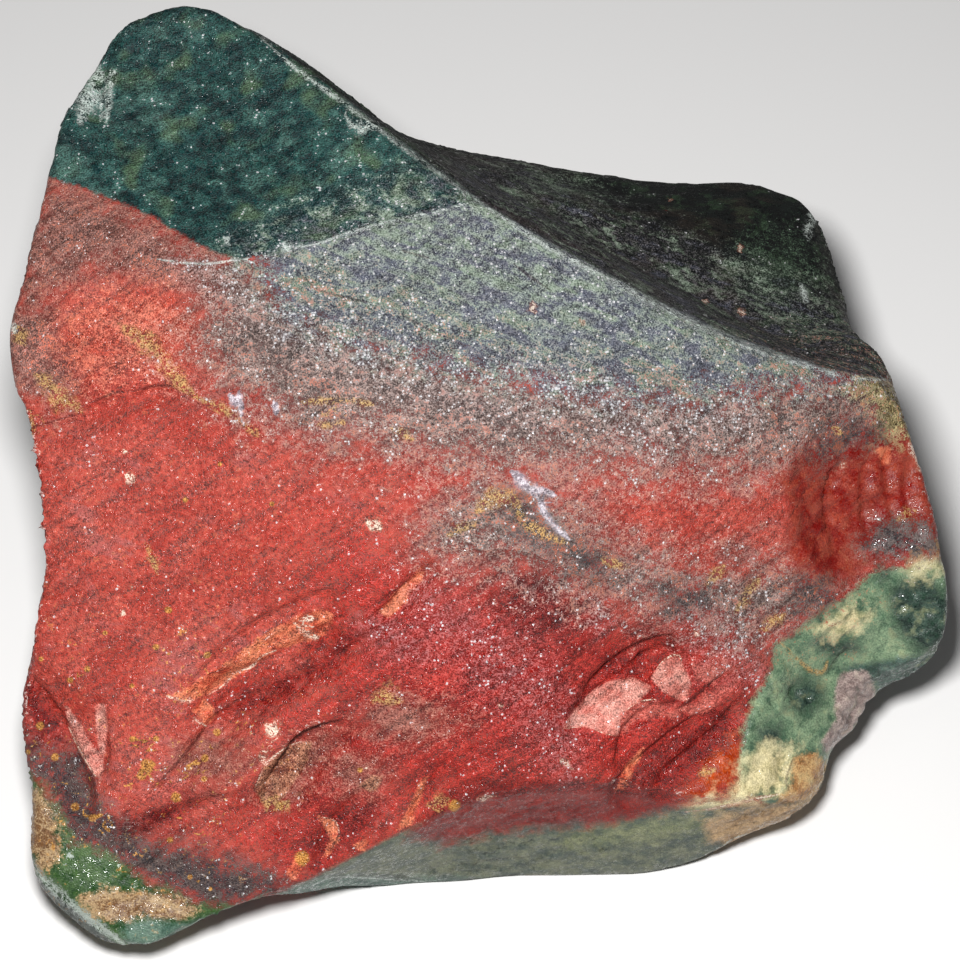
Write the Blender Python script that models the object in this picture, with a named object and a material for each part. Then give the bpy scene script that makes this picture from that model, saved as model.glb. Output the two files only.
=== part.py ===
"""A hand-sized piece of rough bloodstone, broken on all sides and resting on one flat fracture face.

Every corner is given in millimetres as someone looking at the stone sees it: how far across, how far
down, and how much nearer to the eye than the plane of the view it stands. The stone is a ring of sharp
corners round the broad red face, with rows of corners behind it down to the resting face. Scars and
ledges are then cut into it, and the mesh is thinned to the flat facets that it needs.
"""

import math

import bmesh
import bpy
import numpy as np
from mathutils import Vector, noise
from mathutils.geometry import delaunay_2d_cdt

NODE_NAME = "bloodstone"
MM = 0.001

# The view that the corners are measured in.
VIEW_ELEVATION = math.radians(55.0)
EYE_DISTANCE = 400.0
VIEW_CENTRE = (48.0, 48.75)
CENTRE_HEIGHT = 37.8

# The resting face, seen from above: the middle of an oval, and its half sizes.
REST_MIDDLE = (-2.0, 10.0)
REST_HALF_SIZE = (31.0, 29.5)

# The oval's broken outline, as (share of its size, turns per round, start angle).
REST_NOTCHES = ((0.07, 3, 1.0), (0.05, 5, 2.4), (0.05, 11, 0.5))

# How the hidden sides run from the sharp rim down towards the resting face.
SHOULDER_DROP = 12.0
SHOULDER_INSET = 1.4
WAIST_SHARE = 0.52
WAIST_BULGE = 3.0
BULGE_FADE_HEIGHT = 8.0

# Mesh fineness before and after thinning.
SMOOTH_LEVELS = 3
COLUMN_SHARPNESS = 0.8
MESH_SPACING = 0.7
FACET_COUNT = 8600

# A scar's wall steepness, its depth in the middle as a share of the whole, and its deepest share.
SCAR_WALL = 0.7
SCAR_MIDDLE = 0.62
SCAR_DEEPEST = 1.6
REST_FACE_DEPTH = 0.35

# Slow waviness of every fracture face, as (height, wavelength) in millimetres.
WAVINESS = ((0.6, 17.0), (0.24, 6.0), (0.1, 2.4))
WAVINESS_SEED = 11

# Rim corners clockwise from the lower left: across, down, nearness, and how sharp the corner is.
RIM = [
    (3.0, 85.9, -4.2, 0.5),
    (3.2, 80.0, -4.0, 0.3),
    (1.9, 71.5, -4.0, 0.3),
    (2.6, 64.0, -3.0, 0.4),
    (2.9, 57.0, -2.6, 0.3),
    (2.0, 46.0, -2.6, 0.3),
    (0.9, 38.0, -3.0, 0.4),
    (0.7, 32.8, -3.3, 0.6),
    (2.4, 26.8, -3.4, 0.3),
    (4.0, 20.3, -3.8, 0.5),
    (6.2, 12.0, -8.0, 0.6),
    (9.6, 7.2, -11.5, 0.8),
    (12.0, 2.4, -13.5, 0.8),
    (19.0, 0.2, -13.5, 0.8),
    (25.2, 3.1, -11.5, 0.5),
    (30.0, 6.6, -9.0, 0.3),
    (35.0, 10.4, -6.6, 0.3),
    (40.5, 14.7, -3.4, 0.3),
    (44.5, 17.8, -1.4, 0.3),
    (47.6, 20.1, 0.0, 0.7),
    (53.0, 23.5, 0.8, 0.3),
    (60.5, 27.6, 1.0, 0.3),
    (67.5, 31.4, 0.6, 0.3),
    (75.0, 34.6, 0.0, 0.3),
    (82.5, 37.2, -2.0, 0.3),
    (88.3, 38.2, -5.0, 0.6),
    (90.5, 41.2, -7.0, 0.4),
    (92.5, 46.5, -8.0, 0.5),
    (93.7, 52.5, -9.0, 0.3),
    (94.7, 58.0, -10.0, 0.4),
    (94.7, 64.0, -11.5, 0.8),
    (91.2, 66.3, -13.2, 0.6),
    (87.2, 66.7, -13.6, 0.4),
    (83.9, 67.6, -13.2, 0.7),
    (83.4, 71.5, -13.0, 0.3),
    (82.0, 75.0, -12.6, 0.4),
    (81.8, 78.4, -12.0, 0.7),
    (78.6, 80.2, -8.8, 0.5),
    (73.5, 80.3, -6.2, 0.2),
    (67.5, 80.3, -4.4, 0.2),
    (60.5, 79.4, -3.0, 0.2),
    (53.0, 79.6, -2.4, 0.2),
    (46.5, 80.4, -2.5, 0.4),
    (40.0, 83.2, -3.2, 0.2),
    (33.5, 86.9, -4.0, 0.2),
    (26.5, 89.8, -4.6, 0.2),
    (20.0, 92.6, -4.2, 0.3),
    (14.8, 94.9, -4.0, 0.7),
    (11.0, 93.2, -3.9, 0.3),
    (6.6, 89.2, -3.9, 0.3),
]

# Shoulder corners that can be seen, by the number of their rim corner: the step behind the ridge,
# the right end, the crust in the notch, the front wall's foot and the lower left chamfer.
SHOULDER = {
    0: (3.2, 87.2, -8.0),
    14: (25.5, 2.9, -17.0),
    15: (30.4, 6.5, -18.0),
    16: (35.5, 10.1, -19.0),
    17: (41.3, 14.3, -19.0),
    18: (46.0, 17.3, -18.0),
    19: (50.6, 19.4, -18.0),
    20: (57.0, 22.0, -18.5),
    21: (64.0, 25.6, -19.5),
    22: (70.0, 28.4, -20.5),
    23: (75.8, 31.4, -20.5),
    24: (80.4, 33.0, -20.0),
    25: (85.0, 32.8, -21.5),
    26: (88.7, 35.4, -14.5),
    30: (93.9, 65.2, -17.5),
    31: (91.3, 67.3, -18.0),
    32: (88.0, 69.0, -19.5),
    33: (86.6, 70.2, -19.0),
    34: (85.9, 72.6, -18.5),
    35: (82.9, 75.0, -17.5),
    36: (82.2, 78.6, -17.0),
    37: (79.8, 81.3, -16.0),
    38: (75.2, 83.3, -16.5),
    39: (70.3, 86.3, -17.5),
    40: (63.5, 88.4, -18.4),
    41: (55.0, 88.3, -18.4),
    42: (47.2, 88.9, -18.8),
    43: (40.5, 88.9, -17.5),
    44: (34.0, 89.1, -14.5),
    45: (27.0, 90.0, -10.0),
    46: (20.2, 92.5, -8.6),
    47: (15.0, 94.8, -7.2),
    48: (10.2, 95.2, -6.6),
    49: (4.8, 90.3, -7.4),
}

# Waist corners that can be seen: the back edge of the stone above the ridge.
WAIST = {
    13: (22.0, 2.6, -30.0),
    14: (26.0, 4.2, -33.0),
    15: (30.6, 7.2, -35.0),
    16: (35.6, 10.4, -36.0),
    17: (40.2, 13.3, -37.0),
    18: (45.5, 14.6, -38.0),
    19: (51.5, 15.5, -38.5),
    20: (58.2, 16.4, -39.0),
    21: (66.0, 17.3, -38.5),
    22: (75.4, 16.9, -38.0),
    23: (80.4, 18.8, -36.0),
    24: (82.6, 22.4, -34.0),
    25: (84.0, 28.6, -31.5),
}

# Soft corners inside the broad face and the upper left face.
FACE_BULGE = [
    (14.0, 8.5, -11.0),
    (22.0, 11.0, -8.8),
    (12.5, 14.5, -7.2),
    (31.0, 16.5, -4.6),
    (21.0, 18.5, -4.0),
    (39.0, 18.8, -1.4),
    (10.0, 29.5, -1.0),
    (23.0, 32.0, 1.8),
    (38.0, 31.0, 3.0),
    (52.0, 32.0, 3.0),
    (66.0, 37.0, 2.2),
    (80.0, 42.0, -0.8),
    (8.0, 44.0, -1.0),
    (22.0, 45.0, 1.8),
    (40.0, 45.0, 3.6),
    (58.0, 46.0, 3.4),
    (73.0, 49.0, 1.0),
    (86.5, 48.0, -5.2),
    (10.0, 60.0, -1.2),
    (25.0, 60.0, 1.2),
    (42.0, 61.0, 2.4),
    (58.0, 60.0, 2.2),
    (70.0, 60.0, -0.6),
    (12.0, 74.0, -2.4),
    (26.0, 74.0, -0.6),
    (42.0, 73.0, 0.0),
    (57.0, 72.0, -0.8),
    (66.0, 71.0, -3.0),
    (16.0, 85.0, -3.6),
    (28.0, 82.0, -3.0),
    (88.5, 60.5, -10.0),
    (84.0, 64.0, -10.4),
    (79.5, 70.0, -10.0),
    (78.0, 76.0, -9.6),
]

# Creases across the face: points as (across, down, nearness), with the sharpness of each stretch.
CREASES = [
    (
        [
            (42.0, 21.5, 0.7),
            (36.0, 23.0, 1.3),
            (30.6, 24.5, 1.5),
            (26.0, 25.7, 1.2),
            (18.5, 24.4, 0.4),
            (11.0, 21.8, -1.4),
        ],
        [1.0, 1.0, 1.0, 1.0, 0.6, 0.3, 0.2],
        19,
        9,
    ),
    (
        [(88.0, 56.3, -8.4), (82.0, 59.4, -6.6), (78.0, 63.0, -6.4), (76.0, 69.0, -6.8), (74.8, 75.5, -7.4)],
        [0.3, 0.5, 0.6, 0.6, 0.4, 0.3],
        29,
        38,
    ),
]

# How sharp a corner of the rim is at least, and every corner of the rows behind it.
LEAST_RIM_SHARPNESS = 0.7
HIDDEN_CORNER_SHARPNESS = 0.55

# Columns and rows of the hidden sides whose edges are sharp.
SHARP_COLUMNS = (0, 3, 7, 10, 13, 24, 25, 28, 30, 33, 36, 46, 47)
SHOULDER_SHARPNESS = 0.55
WAIST_SHARPNESS = 0.75


class Scar:
    """A shell-shaped hollow left where a flake came off, deepest towards its steep side."""

    def __init__(self, middle, turn, half_size, depth, steep=(0.0, 0.0), ribs=(0.0, 3.0)):
        self.middle = middle
        self.turn = math.radians(turn)
        self.half_size = half_size
        self.depth = depth
        self.steep = steep
        self.ribs = ribs

    def drop(self, along, across):
        """How far the surface falls at a place given in the scar's own two directions."""
        u = along / self.half_size[0]
        v = across / self.half_size[1]
        room = np.clip(1.0 - u * u - v * v, 0.0, 1.0)
        share = np.clip(SCAR_MIDDLE + u * self.steep[0] + v * self.steep[1], 0.0, SCAR_DEEPEST)
        height, wavelength = self.ribs
        waves = height * np.sin(2.0 * math.pi * along / wavelength)
        return self.depth * room ** SCAR_WALL * share + waves * room


class Ledge:
    """A step along a line on the face: the ground falls beside the line and slowly comes back."""

    def __init__(self, line, height, reach):
        self.line = line
        self.height = height
        self.reach = reach


# Scars on the side that faces the eye: the middle is (across, down) and the depth is along the view.
FACE_SCARS = [
    Scar((20.0, 12.0), -32, (21.0, 11.5), 1.1),
    Scar((86.8, 50.0), 78, (10.5, 7.4), 2.6, (0.1, 0.55), (0.2, 3.4)),
    Scar((61.0, 68.4), -40, (8.4, 4.4), 1.7, (0.2, -0.7)),
    Scar((67.4, 67.6), -55, (5.2, 3.6), 1.3, (0.3, -0.6)),
    Scar((66.8, 75.2), -38, (8.6, 4.4), 1.6, (0.1, 0.6), (0.1, 2.6)),
    Scar((63.0, 74.2), -70, (3.4, 2.4), 0.8),
    Scar((5.6, 73.5), 62, (9.0, 4.2), 1.7, (0.2, -0.6), (0.1, 2.2)),
    Scar((10.0, 74.0), 72, (5.0, 2.2), 0.8),
    Scar((28.6, 79.0), -52, (5.8, 2.8), 1.1, (0.2, -0.6)),
    Scar((42.3, 79.2), -62, (3.6, 1.9), 0.8, (0.2, -0.5)),
    Scar((3.4, 41.2), 70, (2.8, 1.8), 0.7),
    Scar((91.2, 46.2), 65, (3.2, 1.7), 0.8),
    Scar((79.8, 69.3), -70, (2.4, 1.9), 0.9),
    Scar((90.0, 60.5), 20, (4.2, 2.8), 0.9),
    Scar((15.5, 88.5), -28, (7.4, 2.4), 0.7),
]

FACE_LEDGES = [
    Ledge([(17.6, 70.6), (20.5, 68.6), (24.0, 66.4), (27.4, 63.6), (31.2, 61.6), (34.0, 60.6)], 1.5, 5.0),
    Ledge([(36.6, 61.4), (39.6, 59.4), (41.2, 56.9), (44.0, 55.6)], 0.9, 3.2),
    Ledge([(12.0, 82.0), (16.0, 77.6), (20.5, 72.6), (25.5, 68.8), (31.5, 65.0)], 0.8, 3.4),
    Ledge([(24.0, 79.5), (27.5, 75.6), (31.0, 73.0), (34.5, 72.4)], 0.8, 2.6),
    Ledge([(26.5, 26.0), (31.0, 24.3), (36.5, 22.7), (42.0, 21.3), (46.5, 20.3)], -0.4, 4.0),
    Ledge([(31.5, 29.4), (35.0, 29.8), (38.5, 31.4)], 0.3, 2.0),
    Ledge([(56.8, 27.6), (62.0, 30.4)], 0.25, 1.6),
    Ledge([(7.5, 41.0), (11.0, 39.4), (14.0, 38.7), (17.5, 38.7)], 0.45, 2.0),
    Ledge([(72.5, 60.6), (75.5, 57.2), (78.0, 54.8)], 0.5, 2.2),
]

# Large scars on the hidden sides: middle on the stone, the way the scar faces, and its form.
BODY_SCARS = [
    ((-44.0, 8.0, 26.0), (-0.96, -0.10, -0.25), Scar((0, 0), 8, (24.0, 15.0), 3.2, (0.0, 0.5), (0.2, 5.5))),
    ((-27.0, 40.0, 28.0), (-0.45, 0.82, -0.35), Scar((0, 0), -20, (20.0, 15.0), 3.4, (0.3, 0.5), (0.2, 6.0))),
    ((12.0, 42.0, 14.0), (0.05, 0.72, -0.69), Scar((0, 0), 12, (24.0, 12.0), 2.8, (0.2, 0.5), (0.2, 5.0))),
    ((36.0, 14.0, 16.0), (0.80, 0.20, -0.56), Scar((0, 0), -8, (17.0, 12.0), 2.6, (0.0, 0.5), (0.2, 4.6))),
    ((-30.0, -22.0, 8.0), (-0.30, -0.55, -0.78), Scar((0, 0), 25, (14.0, 9.0), 1.8, (0.2, 0.4), (0.15, 4.0))),
    ((14.0, -30.0, 8.0), (0.10, -0.85, -0.50), Scar((0, 0), 4, (22.0, 8.0), 1.6, (0.3, 0.4), (0.12, 4.4))),
    ((18.0, 26.0, 34.0), (0.10, 0.55, 0.83), Scar((0, 0), -14, (22.0, 7.0), 2.2, (0.2, -0.5))),
]


def seen(across, down, near):
    """The place in millimetres, on the standing stone, of what shows at (across, down) in the view."""
    shrink = 1.0 - near / EYE_DISTANCE
    right = (across - VIEW_CENTRE[0]) * shrink
    up = (VIEW_CENTRE[1] - down) * shrink
    sine = math.sin(VIEW_ELEVATION)
    cosine = math.cos(VIEW_ELEVATION)
    return np.array([right, up * sine - near * cosine, up * cosine + near * sine + CENTRE_HEIGHT])


def view_of(points):
    """The reverse of seen for an array of places: across, down and nearness of each."""
    sine = math.sin(VIEW_ELEVATION)
    cosine = math.cos(VIEW_ELEVATION)
    height = points[:, 2] - CENTRE_HEIGHT
    near = height * sine - points[:, 1] * cosine
    up = height * cosine + points[:, 1] * sine
    shrink = 1.0 - near / EYE_DISTANCE
    return np.stack([VIEW_CENTRE[0] + points[:, 0] / shrink, VIEW_CENTRE[1] - up / shrink, near], axis=1)


def towards_eye():
    """The direction from the stone to the eye."""
    return np.array([0.0, -math.cos(VIEW_ELEVATION), math.sin(VIEW_ELEVATION)])


def foot_corner(rim_place):
    """The corner of the resting face that lies under a rim corner."""
    reach = (rim_place[:2] - REST_MIDDLE) / REST_HALF_SIZE
    angle = math.atan2(reach[1], reach[0])
    notches = sum(share * math.sin(turns * angle + start) for share, turns, start in REST_NOTCHES)
    reach *= (1.0 + notches) / np.linalg.norm(reach)
    spot = np.array(REST_MIDDLE) + reach * REST_HALF_SIZE
    return np.array([spot[0], spot[1], 0.0])


def shoulder_corner(index):
    """The corner behind a rim corner: one that can be seen, or one tucked in behind the rim."""
    if index in SHOULDER:
        return seen(*SHOULDER[index])
    across, down, near, _ = RIM[index]
    inward = np.array([VIEW_CENTRE[0] - across, VIEW_CENTRE[1] - down])
    inward *= SHOULDER_INSET / np.linalg.norm(inward)
    return seen(across + inward[0], down + inward[1], near - SHOULDER_DROP)


def waist_corner(index, shoulder, foot):
    """The corner between a shoulder corner and the resting face."""
    if index in WAIST:
        return seen(*WAIST[index])
    middle = shoulder + (foot - shoulder) * WAIST_SHARE
    outward = middle[:2] - np.array(REST_MIDDLE)
    outward *= WAIST_BULGE / np.linalg.norm(outward)
    height = max(middle[2], 0.0)
    outward *= min(1.0, height / BULGE_FADE_HEIGHT)
    return np.array([middle[0] + outward[0], middle[1] + outward[1], height])


def face_triangles(rim_count):
    """The broad face as view points, triangles and creases, with the rim corners first."""
    points = [(across, down, near) for across, down, near, _ in RIM]
    edges = [(i, (i + 1) % rim_count) for i in range(rim_count)]
    crease_of = {}
    for line, sharpness, start, end in CREASES:
        first = len(points)
        points.extend(line)
        chain = [start, *range(first, len(points)), end]
        for a, b, sharp in zip(chain, chain[1:], sharpness):
            edges.append((a, b))
            crease_of[frozenset((a, b))] = sharp
    points.extend(FACE_BULGE)
    flat = [Vector((across, -down)) for across, down, _ in points]
    inside_only = 1
    found = delaunay_2d_cdt(flat, edges, [list(range(rim_count))[::-1]], inside_only, 1e-5)
    return points, found[2], crease_of


def build_cage():
    """The coarse stone in millimetres, with sharpness on its edges and corners."""
    count = len(RIM)
    points, triangles, crease_of = face_triangles(count)
    mesh = bmesh.new()
    edge_sharp = mesh.edges.layers.float.new("crease_edge")
    corner_sharp = mesh.verts.layers.float.new("crease_vert")
    face = [mesh.verts.new(seen(*point)) for point in points]
    rows = [face[:count], [], [], []]
    for index in range(count):
        rim_place = np.array(face[index].co)
        foot = foot_corner(rim_place)
        shoulder = shoulder_corner(index)
        waist = waist_corner(index, shoulder, foot)
        for row, place in zip(rows[1:], (shoulder, waist, foot)):
            row.append(mesh.verts.new(place))
            row[-1][corner_sharp] = HIDDEN_CORNER_SHARPNESS
        rows[0][index][corner_sharp] = max(RIM[index][3], LEAST_RIM_SHARPNESS)
    for triangle in triangles:
        mesh.faces.new([face[i] for i in triangle])
    for upper, lower in zip(rows, rows[1:]):
        for i in range(count):
            j = (i + 1) % count
            mesh.faces.new([upper[i], upper[j], lower[j], lower[i]])
    mesh.faces.new(rows[3])
    row_sharpness = (1.0, SHOULDER_SHARPNESS, WAIST_SHARPNESS, 1.0)
    for row, sharp in zip(rows, row_sharpness):
        for i in range(count):
            mesh.edges.get((row[i], row[(i + 1) % count]))[edge_sharp] = sharp
    for column in SHARP_COLUMNS:
        for upper, lower in zip(rows[1:], rows[2:]):
            mesh.edges.get((upper[column], lower[column]))[edge_sharp] = COLUMN_SHARPNESS
    for pair, sharp in crease_of.items():
        edge = mesh.edges.get([face[i] for i in pair])
        if edge is not None:
            edge[edge_sharp] = sharp
    return mesh


def smoothed(cage):
    """The cage rounded between its sharp edges and meshed evenly, as mesh data."""
    data = bpy.data.meshes.new("cage")
    cage.to_mesh(data)
    cage.free()
    carrier = bpy.data.objects.new("cage", data)
    bpy.context.scene.collection.objects.link(carrier)
    rounding = carrier.modifiers.new("rounding", "SUBSURF")
    rounding.levels = SMOOTH_LEVELS
    rounding.render_levels = SMOOTH_LEVELS
    evening = carrier.modifiers.new("evening", "REMESH")
    evening.mode = "VOXEL"
    evening.voxel_size = MESH_SPACING
    graph = bpy.context.evaluated_depsgraph_get()
    result = bpy.data.meshes.new_from_object(carrier.evaluated_get(graph))
    bpy.data.objects.remove(carrier)
    return result


def roughened(points):
    """Points moved by the slow waviness of the fracture faces."""
    noise.seed_set(WAVINESS_SEED)
    moved = points.copy()
    for height, wavelength in WAVINESS:
        drift = np.array([noise.noise_vector(Vector(point / wavelength)) for point in points])
        moved += drift * height
    return moved


def scar_frame(facing):
    """Two directions across a scar and the one out of it."""
    outward = np.array(facing) / np.linalg.norm(facing)
    side = np.cross([0.0, 0.0, 1.0], outward)
    side /= np.linalg.norm(side)
    return side, np.cross(outward, side), outward


def face_scar_drop(view, scar):
    """How far each view point on the broad face falls in a scar."""
    away = view[:, :2] - np.array(scar.middle)
    cosine, sine = math.cos(scar.turn), math.sin(scar.turn)
    return scar.drop(away[:, 0] * cosine + away[:, 1] * sine, away[:, 1] * cosine - away[:, 0] * sine)


def line_distance(places, line):
    """Distance of each place to a line of points, the side it is on, and how far along it is, 0 to 1."""
    best = np.full(len(places), 1e9)
    side = np.zeros(len(places))
    share = np.zeros(len(places))
    pieces = len(line) - 1
    for number in range(pieces):
        start = np.array(line[number])
        run = np.array(line[number + 1]) - start
        offset = places - start
        t = np.clip(offset @ run / (run @ run), 0.0, 1.0)
        gap = np.linalg.norm(offset - t[:, None] * run, axis=1)
        closer = gap < best
        best[closer] = gap[closer]
        side[closer] = np.sign(run[0] * offset[:, 1] - run[1] * offset[:, 0])[closer]
        share[closer] = ((number + t) / pieces)[closer]
    return best, side, share


def ledge_drop(view, ledge):
    """How far each view point falls beside a ledge, most at the ledge's own line."""
    gap, side, share = line_distance(view[:, :2], ledge.line)
    taper = np.sin(np.clip(share, 0.02, 0.98) * math.pi) ** 0.5
    drop = abs(ledge.height) * np.exp(-((gap / ledge.reach) ** 2)) * taper
    low_side = side > 0 if ledge.height > 0 else side < 0
    return np.where(low_side, drop, 0.0)


def body_scar_drop(points, middle, frame, scar):
    """How far each point on a hidden side falls in a scar."""
    side, upward, _ = frame
    away = points - np.array(middle)
    cosine, sine = math.cos(scar.turn), math.sin(scar.turn)
    along, across = away @ side, away @ upward
    return scar.drop(along * cosine + across * sine, across * cosine - along * sine)


def carve(points, normals):
    """All scars and ledges cut into the stone's points."""
    for middle, facing, scar in BODY_SCARS:
        frame = scar_frame(facing)
        turned_to = np.clip((normals @ frame[2] - 0.25) / 0.4, 0.0, 1.0)
        points -= (body_scar_drop(points, middle, frame, scar) * turned_to)[:, None] * frame[2]
    view = view_of(points)
    drop = sum(face_scar_drop(view, scar) for scar in FACE_SCARS)
    drop += sum(ledge_drop(view, ledge) for ledge in FACE_LEDGES)
    turned_to = np.clip((normals @ towards_eye() - 0.2) / 0.3, 0.0, 1.0)
    points -= (drop * turned_to)[:, None] * towards_eye()
    return points


def places_of(data):
    """The corner places of mesh data as an array."""
    places = np.empty(len(data.vertices) * 3)
    data.vertices.foreach_get("co", places)
    return places.reshape(-1, 3)


def thinned(data, facets):
    """Mesh data thinned to about this many flat facets, as new mesh data."""
    carrier = bpy.data.objects.new("fine", data)
    bpy.context.scene.collection.objects.link(carrier)
    corners = carrier.modifiers.new("corners", "TRIANGULATE")
    corners.quad_method = "BEAUTY"
    fewer = carrier.modifiers.new("fewer", "DECIMATE")
    fewer.ratio = facets / (2 * len(data.polygons))
    graph = bpy.context.evaluated_depsgraph_get()
    result = bpy.data.meshes.new_from_object(carrier.evaluated_get(graph))
    bpy.data.objects.remove(carrier)
    return result


def stone_mesh():
    """The finished stone in metres, centred over the origin and standing on it."""
    data = smoothed(build_cage())
    normals = np.empty(len(data.vertices) * 3)
    data.vertices.foreach_get("normal", normals)
    points = carve(roughened(places_of(data)), normals.reshape(-1, 3))
    points[:, 2] = np.maximum(points[:, 2] - REST_FACE_DEPTH, 0.0)
    data.vertices.foreach_set("co", points.ravel())
    data = thinned(data, FACET_COUNT)
    corners = places_of(data)
    middle = (corners.min(axis=0) + corners.max(axis=0)) / 2.0
    corners[:, :2] -= middle[:2]
    corners[corners[:, 2] < 0.02, 2] = 0.0
    data.vertices.foreach_set("co", (corners * MM).ravel())
    data.update()
    return data


def stone_material():
    """Dark green waxy chalcedony."""
    material = bpy.data.materials.new("bloodstone")
    material.use_nodes = True
    shader = material.node_tree.nodes["Principled BSDF"]
    shader.inputs["Base Color"].default_value = (0.30, 0.075, 0.05, 1.0)
    shader.inputs["Roughness"].default_value = 0.42
    shader.inputs["Metallic"].default_value = 0.0
    return material


def main():
    """Clears the scene and makes the stone."""
    for old in list(bpy.data.objects):
        bpy.data.objects.remove(old)
    data = stone_mesh()
    data.materials.append(stone_material())
    data.name = NODE_NAME
    stone = bpy.data.objects.new(NODE_NAME, data)
    bpy.context.scene.collection.objects.link(stone)


main()
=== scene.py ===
"""The look of a rough bloodstone: fine relief, colours that run through the stone, and a plain studio."""

import logging
import math
from dataclasses import dataclass
from enum import Enum
from functools import reduce
from typing import Any

import bpy
import numpy as np
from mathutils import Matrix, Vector


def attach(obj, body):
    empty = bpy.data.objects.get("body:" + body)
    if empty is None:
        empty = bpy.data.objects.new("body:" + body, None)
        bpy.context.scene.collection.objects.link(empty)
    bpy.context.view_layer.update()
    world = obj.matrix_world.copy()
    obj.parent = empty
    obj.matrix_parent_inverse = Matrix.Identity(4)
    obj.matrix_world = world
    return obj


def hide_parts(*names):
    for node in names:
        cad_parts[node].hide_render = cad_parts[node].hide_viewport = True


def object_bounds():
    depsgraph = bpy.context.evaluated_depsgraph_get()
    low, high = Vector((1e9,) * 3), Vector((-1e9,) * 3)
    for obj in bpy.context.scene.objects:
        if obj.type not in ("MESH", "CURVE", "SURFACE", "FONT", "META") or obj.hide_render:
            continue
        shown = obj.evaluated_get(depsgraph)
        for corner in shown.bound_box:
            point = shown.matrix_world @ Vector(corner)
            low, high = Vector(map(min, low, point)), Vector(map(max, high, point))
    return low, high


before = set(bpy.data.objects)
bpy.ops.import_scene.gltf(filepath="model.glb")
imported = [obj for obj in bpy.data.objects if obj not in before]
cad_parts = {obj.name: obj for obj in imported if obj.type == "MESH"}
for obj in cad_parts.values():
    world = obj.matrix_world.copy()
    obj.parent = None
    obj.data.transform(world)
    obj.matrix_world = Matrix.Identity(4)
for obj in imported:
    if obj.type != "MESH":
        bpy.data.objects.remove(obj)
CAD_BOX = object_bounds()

MM = 0.001
NODE = "bloodstone"
FAR_AWAY = 60.0
LINE_SURROUNDINGS = 3.0
LAMP_GAIN = 1.5
SPECK_LENGTH = 0.02
SPECK_CENTRE = (12.0, 76.0)
SPECK_REACH = 24.0
SPECK_CORE = 8.0
LOG = logging.getLogger("bloodstone")

Point = tuple[float, float]
Outline = list[Point]
Tone = tuple[float, float, float, float]
Steps = tuple[float, float, float]
Settings = dict[Any, Any] | None


class Edge(Enum):
    """How the edge of a zone breaks up: how far it wanders and how powdery it is, in widths of its fade."""

    MELTED = (1.3, 0.0)
    STRAIGHT = (0.6, 0.15)
    BROKEN = (1.4, 0.4)
    RAGGED = (2.3, 0.6)
    POWDERY = (1.5, 1.1)


class Streak(Enum):
    """The ways in which the stone's grain runs, as seen on the broad face."""

    HACKLE = 34.0
    BEDDING = -22.0


def tone(red: float, green: float, blue: float) -> Tone:
    """Turns a colour as it shows under the key light, in the usual 0 to 255 steps, into the stone's own.

    Args:
        red: red share.
        green: green share.
        blue: blue share.

    Returns:
        The colour as linear red, green, blue and full alpha.
    """

    def linear(step: float) -> float:
        """One share as light."""
        share = step / 255.0
        return share / 12.92 if share <= 0.04045 else ((share + 0.055) / 1.055) ** 2.4

    return linear(red) / LAMP_GAIN, linear(green) / LAMP_GAIN, linear(blue) / LAMP_GAIN, 1.0


@dataclass(frozen=True)
class View:
    """The way the stone is looked at, and how far its middle was moved when it was centred."""

    elevation: float = math.radians(55.0)
    eye_distance: float = 400.0
    centre: Point = (48.0, 48.75)
    centre_height: float = 37.8
    moved: tuple[float, float, float] = (0.321, 11.152, 0.35)

    def to_eye(self) -> np.ndarray:
        """The direction from the stone to the eye."""
        return np.array([0.0, -math.cos(self.elevation), math.sin(self.elevation)])

    def up(self) -> np.ndarray:
        """The direction that is straight up in the picture."""
        return np.array([0.0, math.sin(self.elevation), math.cos(self.elevation)])

    def target(self) -> Vector:
        """The place in metres that the camera looks at."""
        return Vector((-self.moved[0], -self.moved[1], self.centre_height - self.moved[2])) * MM

    def seen(self, places: np.ndarray) -> np.ndarray:
        """Says where places on the stone show.

        Args:
            places: places in metres, one a row.

        Returns:
            Across, down and nearness in millimetres, one row for each place.
        """
        own = places / MM + np.array(self.moved)
        height = own[:, 2] - self.centre_height
        sine, cosine = math.sin(self.elevation), math.cos(self.elevation)
        near = height * sine - own[:, 1] * cosine
        up = height * cosine + own[:, 1] * sine
        shrink = 1.0 - near / self.eye_distance
        across = self.centre[0] + own[:, 0] / shrink
        return np.stack([across, self.centre[1] - up / shrink, near], axis=1)


@dataclass(frozen=True)
class Patch:
    """A zone of one kind of stone, or of painted light or shade: its outlines on the broad side, how its edge
    fades, and its two tones.
    """

    name: str
    outlines: tuple[Outline, ...]
    soft: float
    edge: Edge
    tones: tuple[Tone, Tone]
    even: bool = False


@dataclass(frozen=True)
class Line:
    """A thin feature along a path, with its half width in millimetres at its middle."""

    path: Outline
    half_width: float
    taper: float = 0.7


@dataclass(frozen=True)
class Fold:
    """A broken step: right of its path the ground falls over a cliff, then comes back over an apron."""

    path: Outline
    drop: float
    cliff: float
    apron: float


@dataclass(frozen=True)
class Knob:
    """A small round lump, or a pit where its height is below zero, in millimetres."""

    across: float
    down: float
    radius: float
    height: float


def traced(points: str) -> Outline:
    """Reads a path: its points in turn, each as across,down in millimetres."""
    pairs = (point.split(",") for point in points.split())
    return [(float(across), float(down)) for across, down in pairs]


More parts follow.
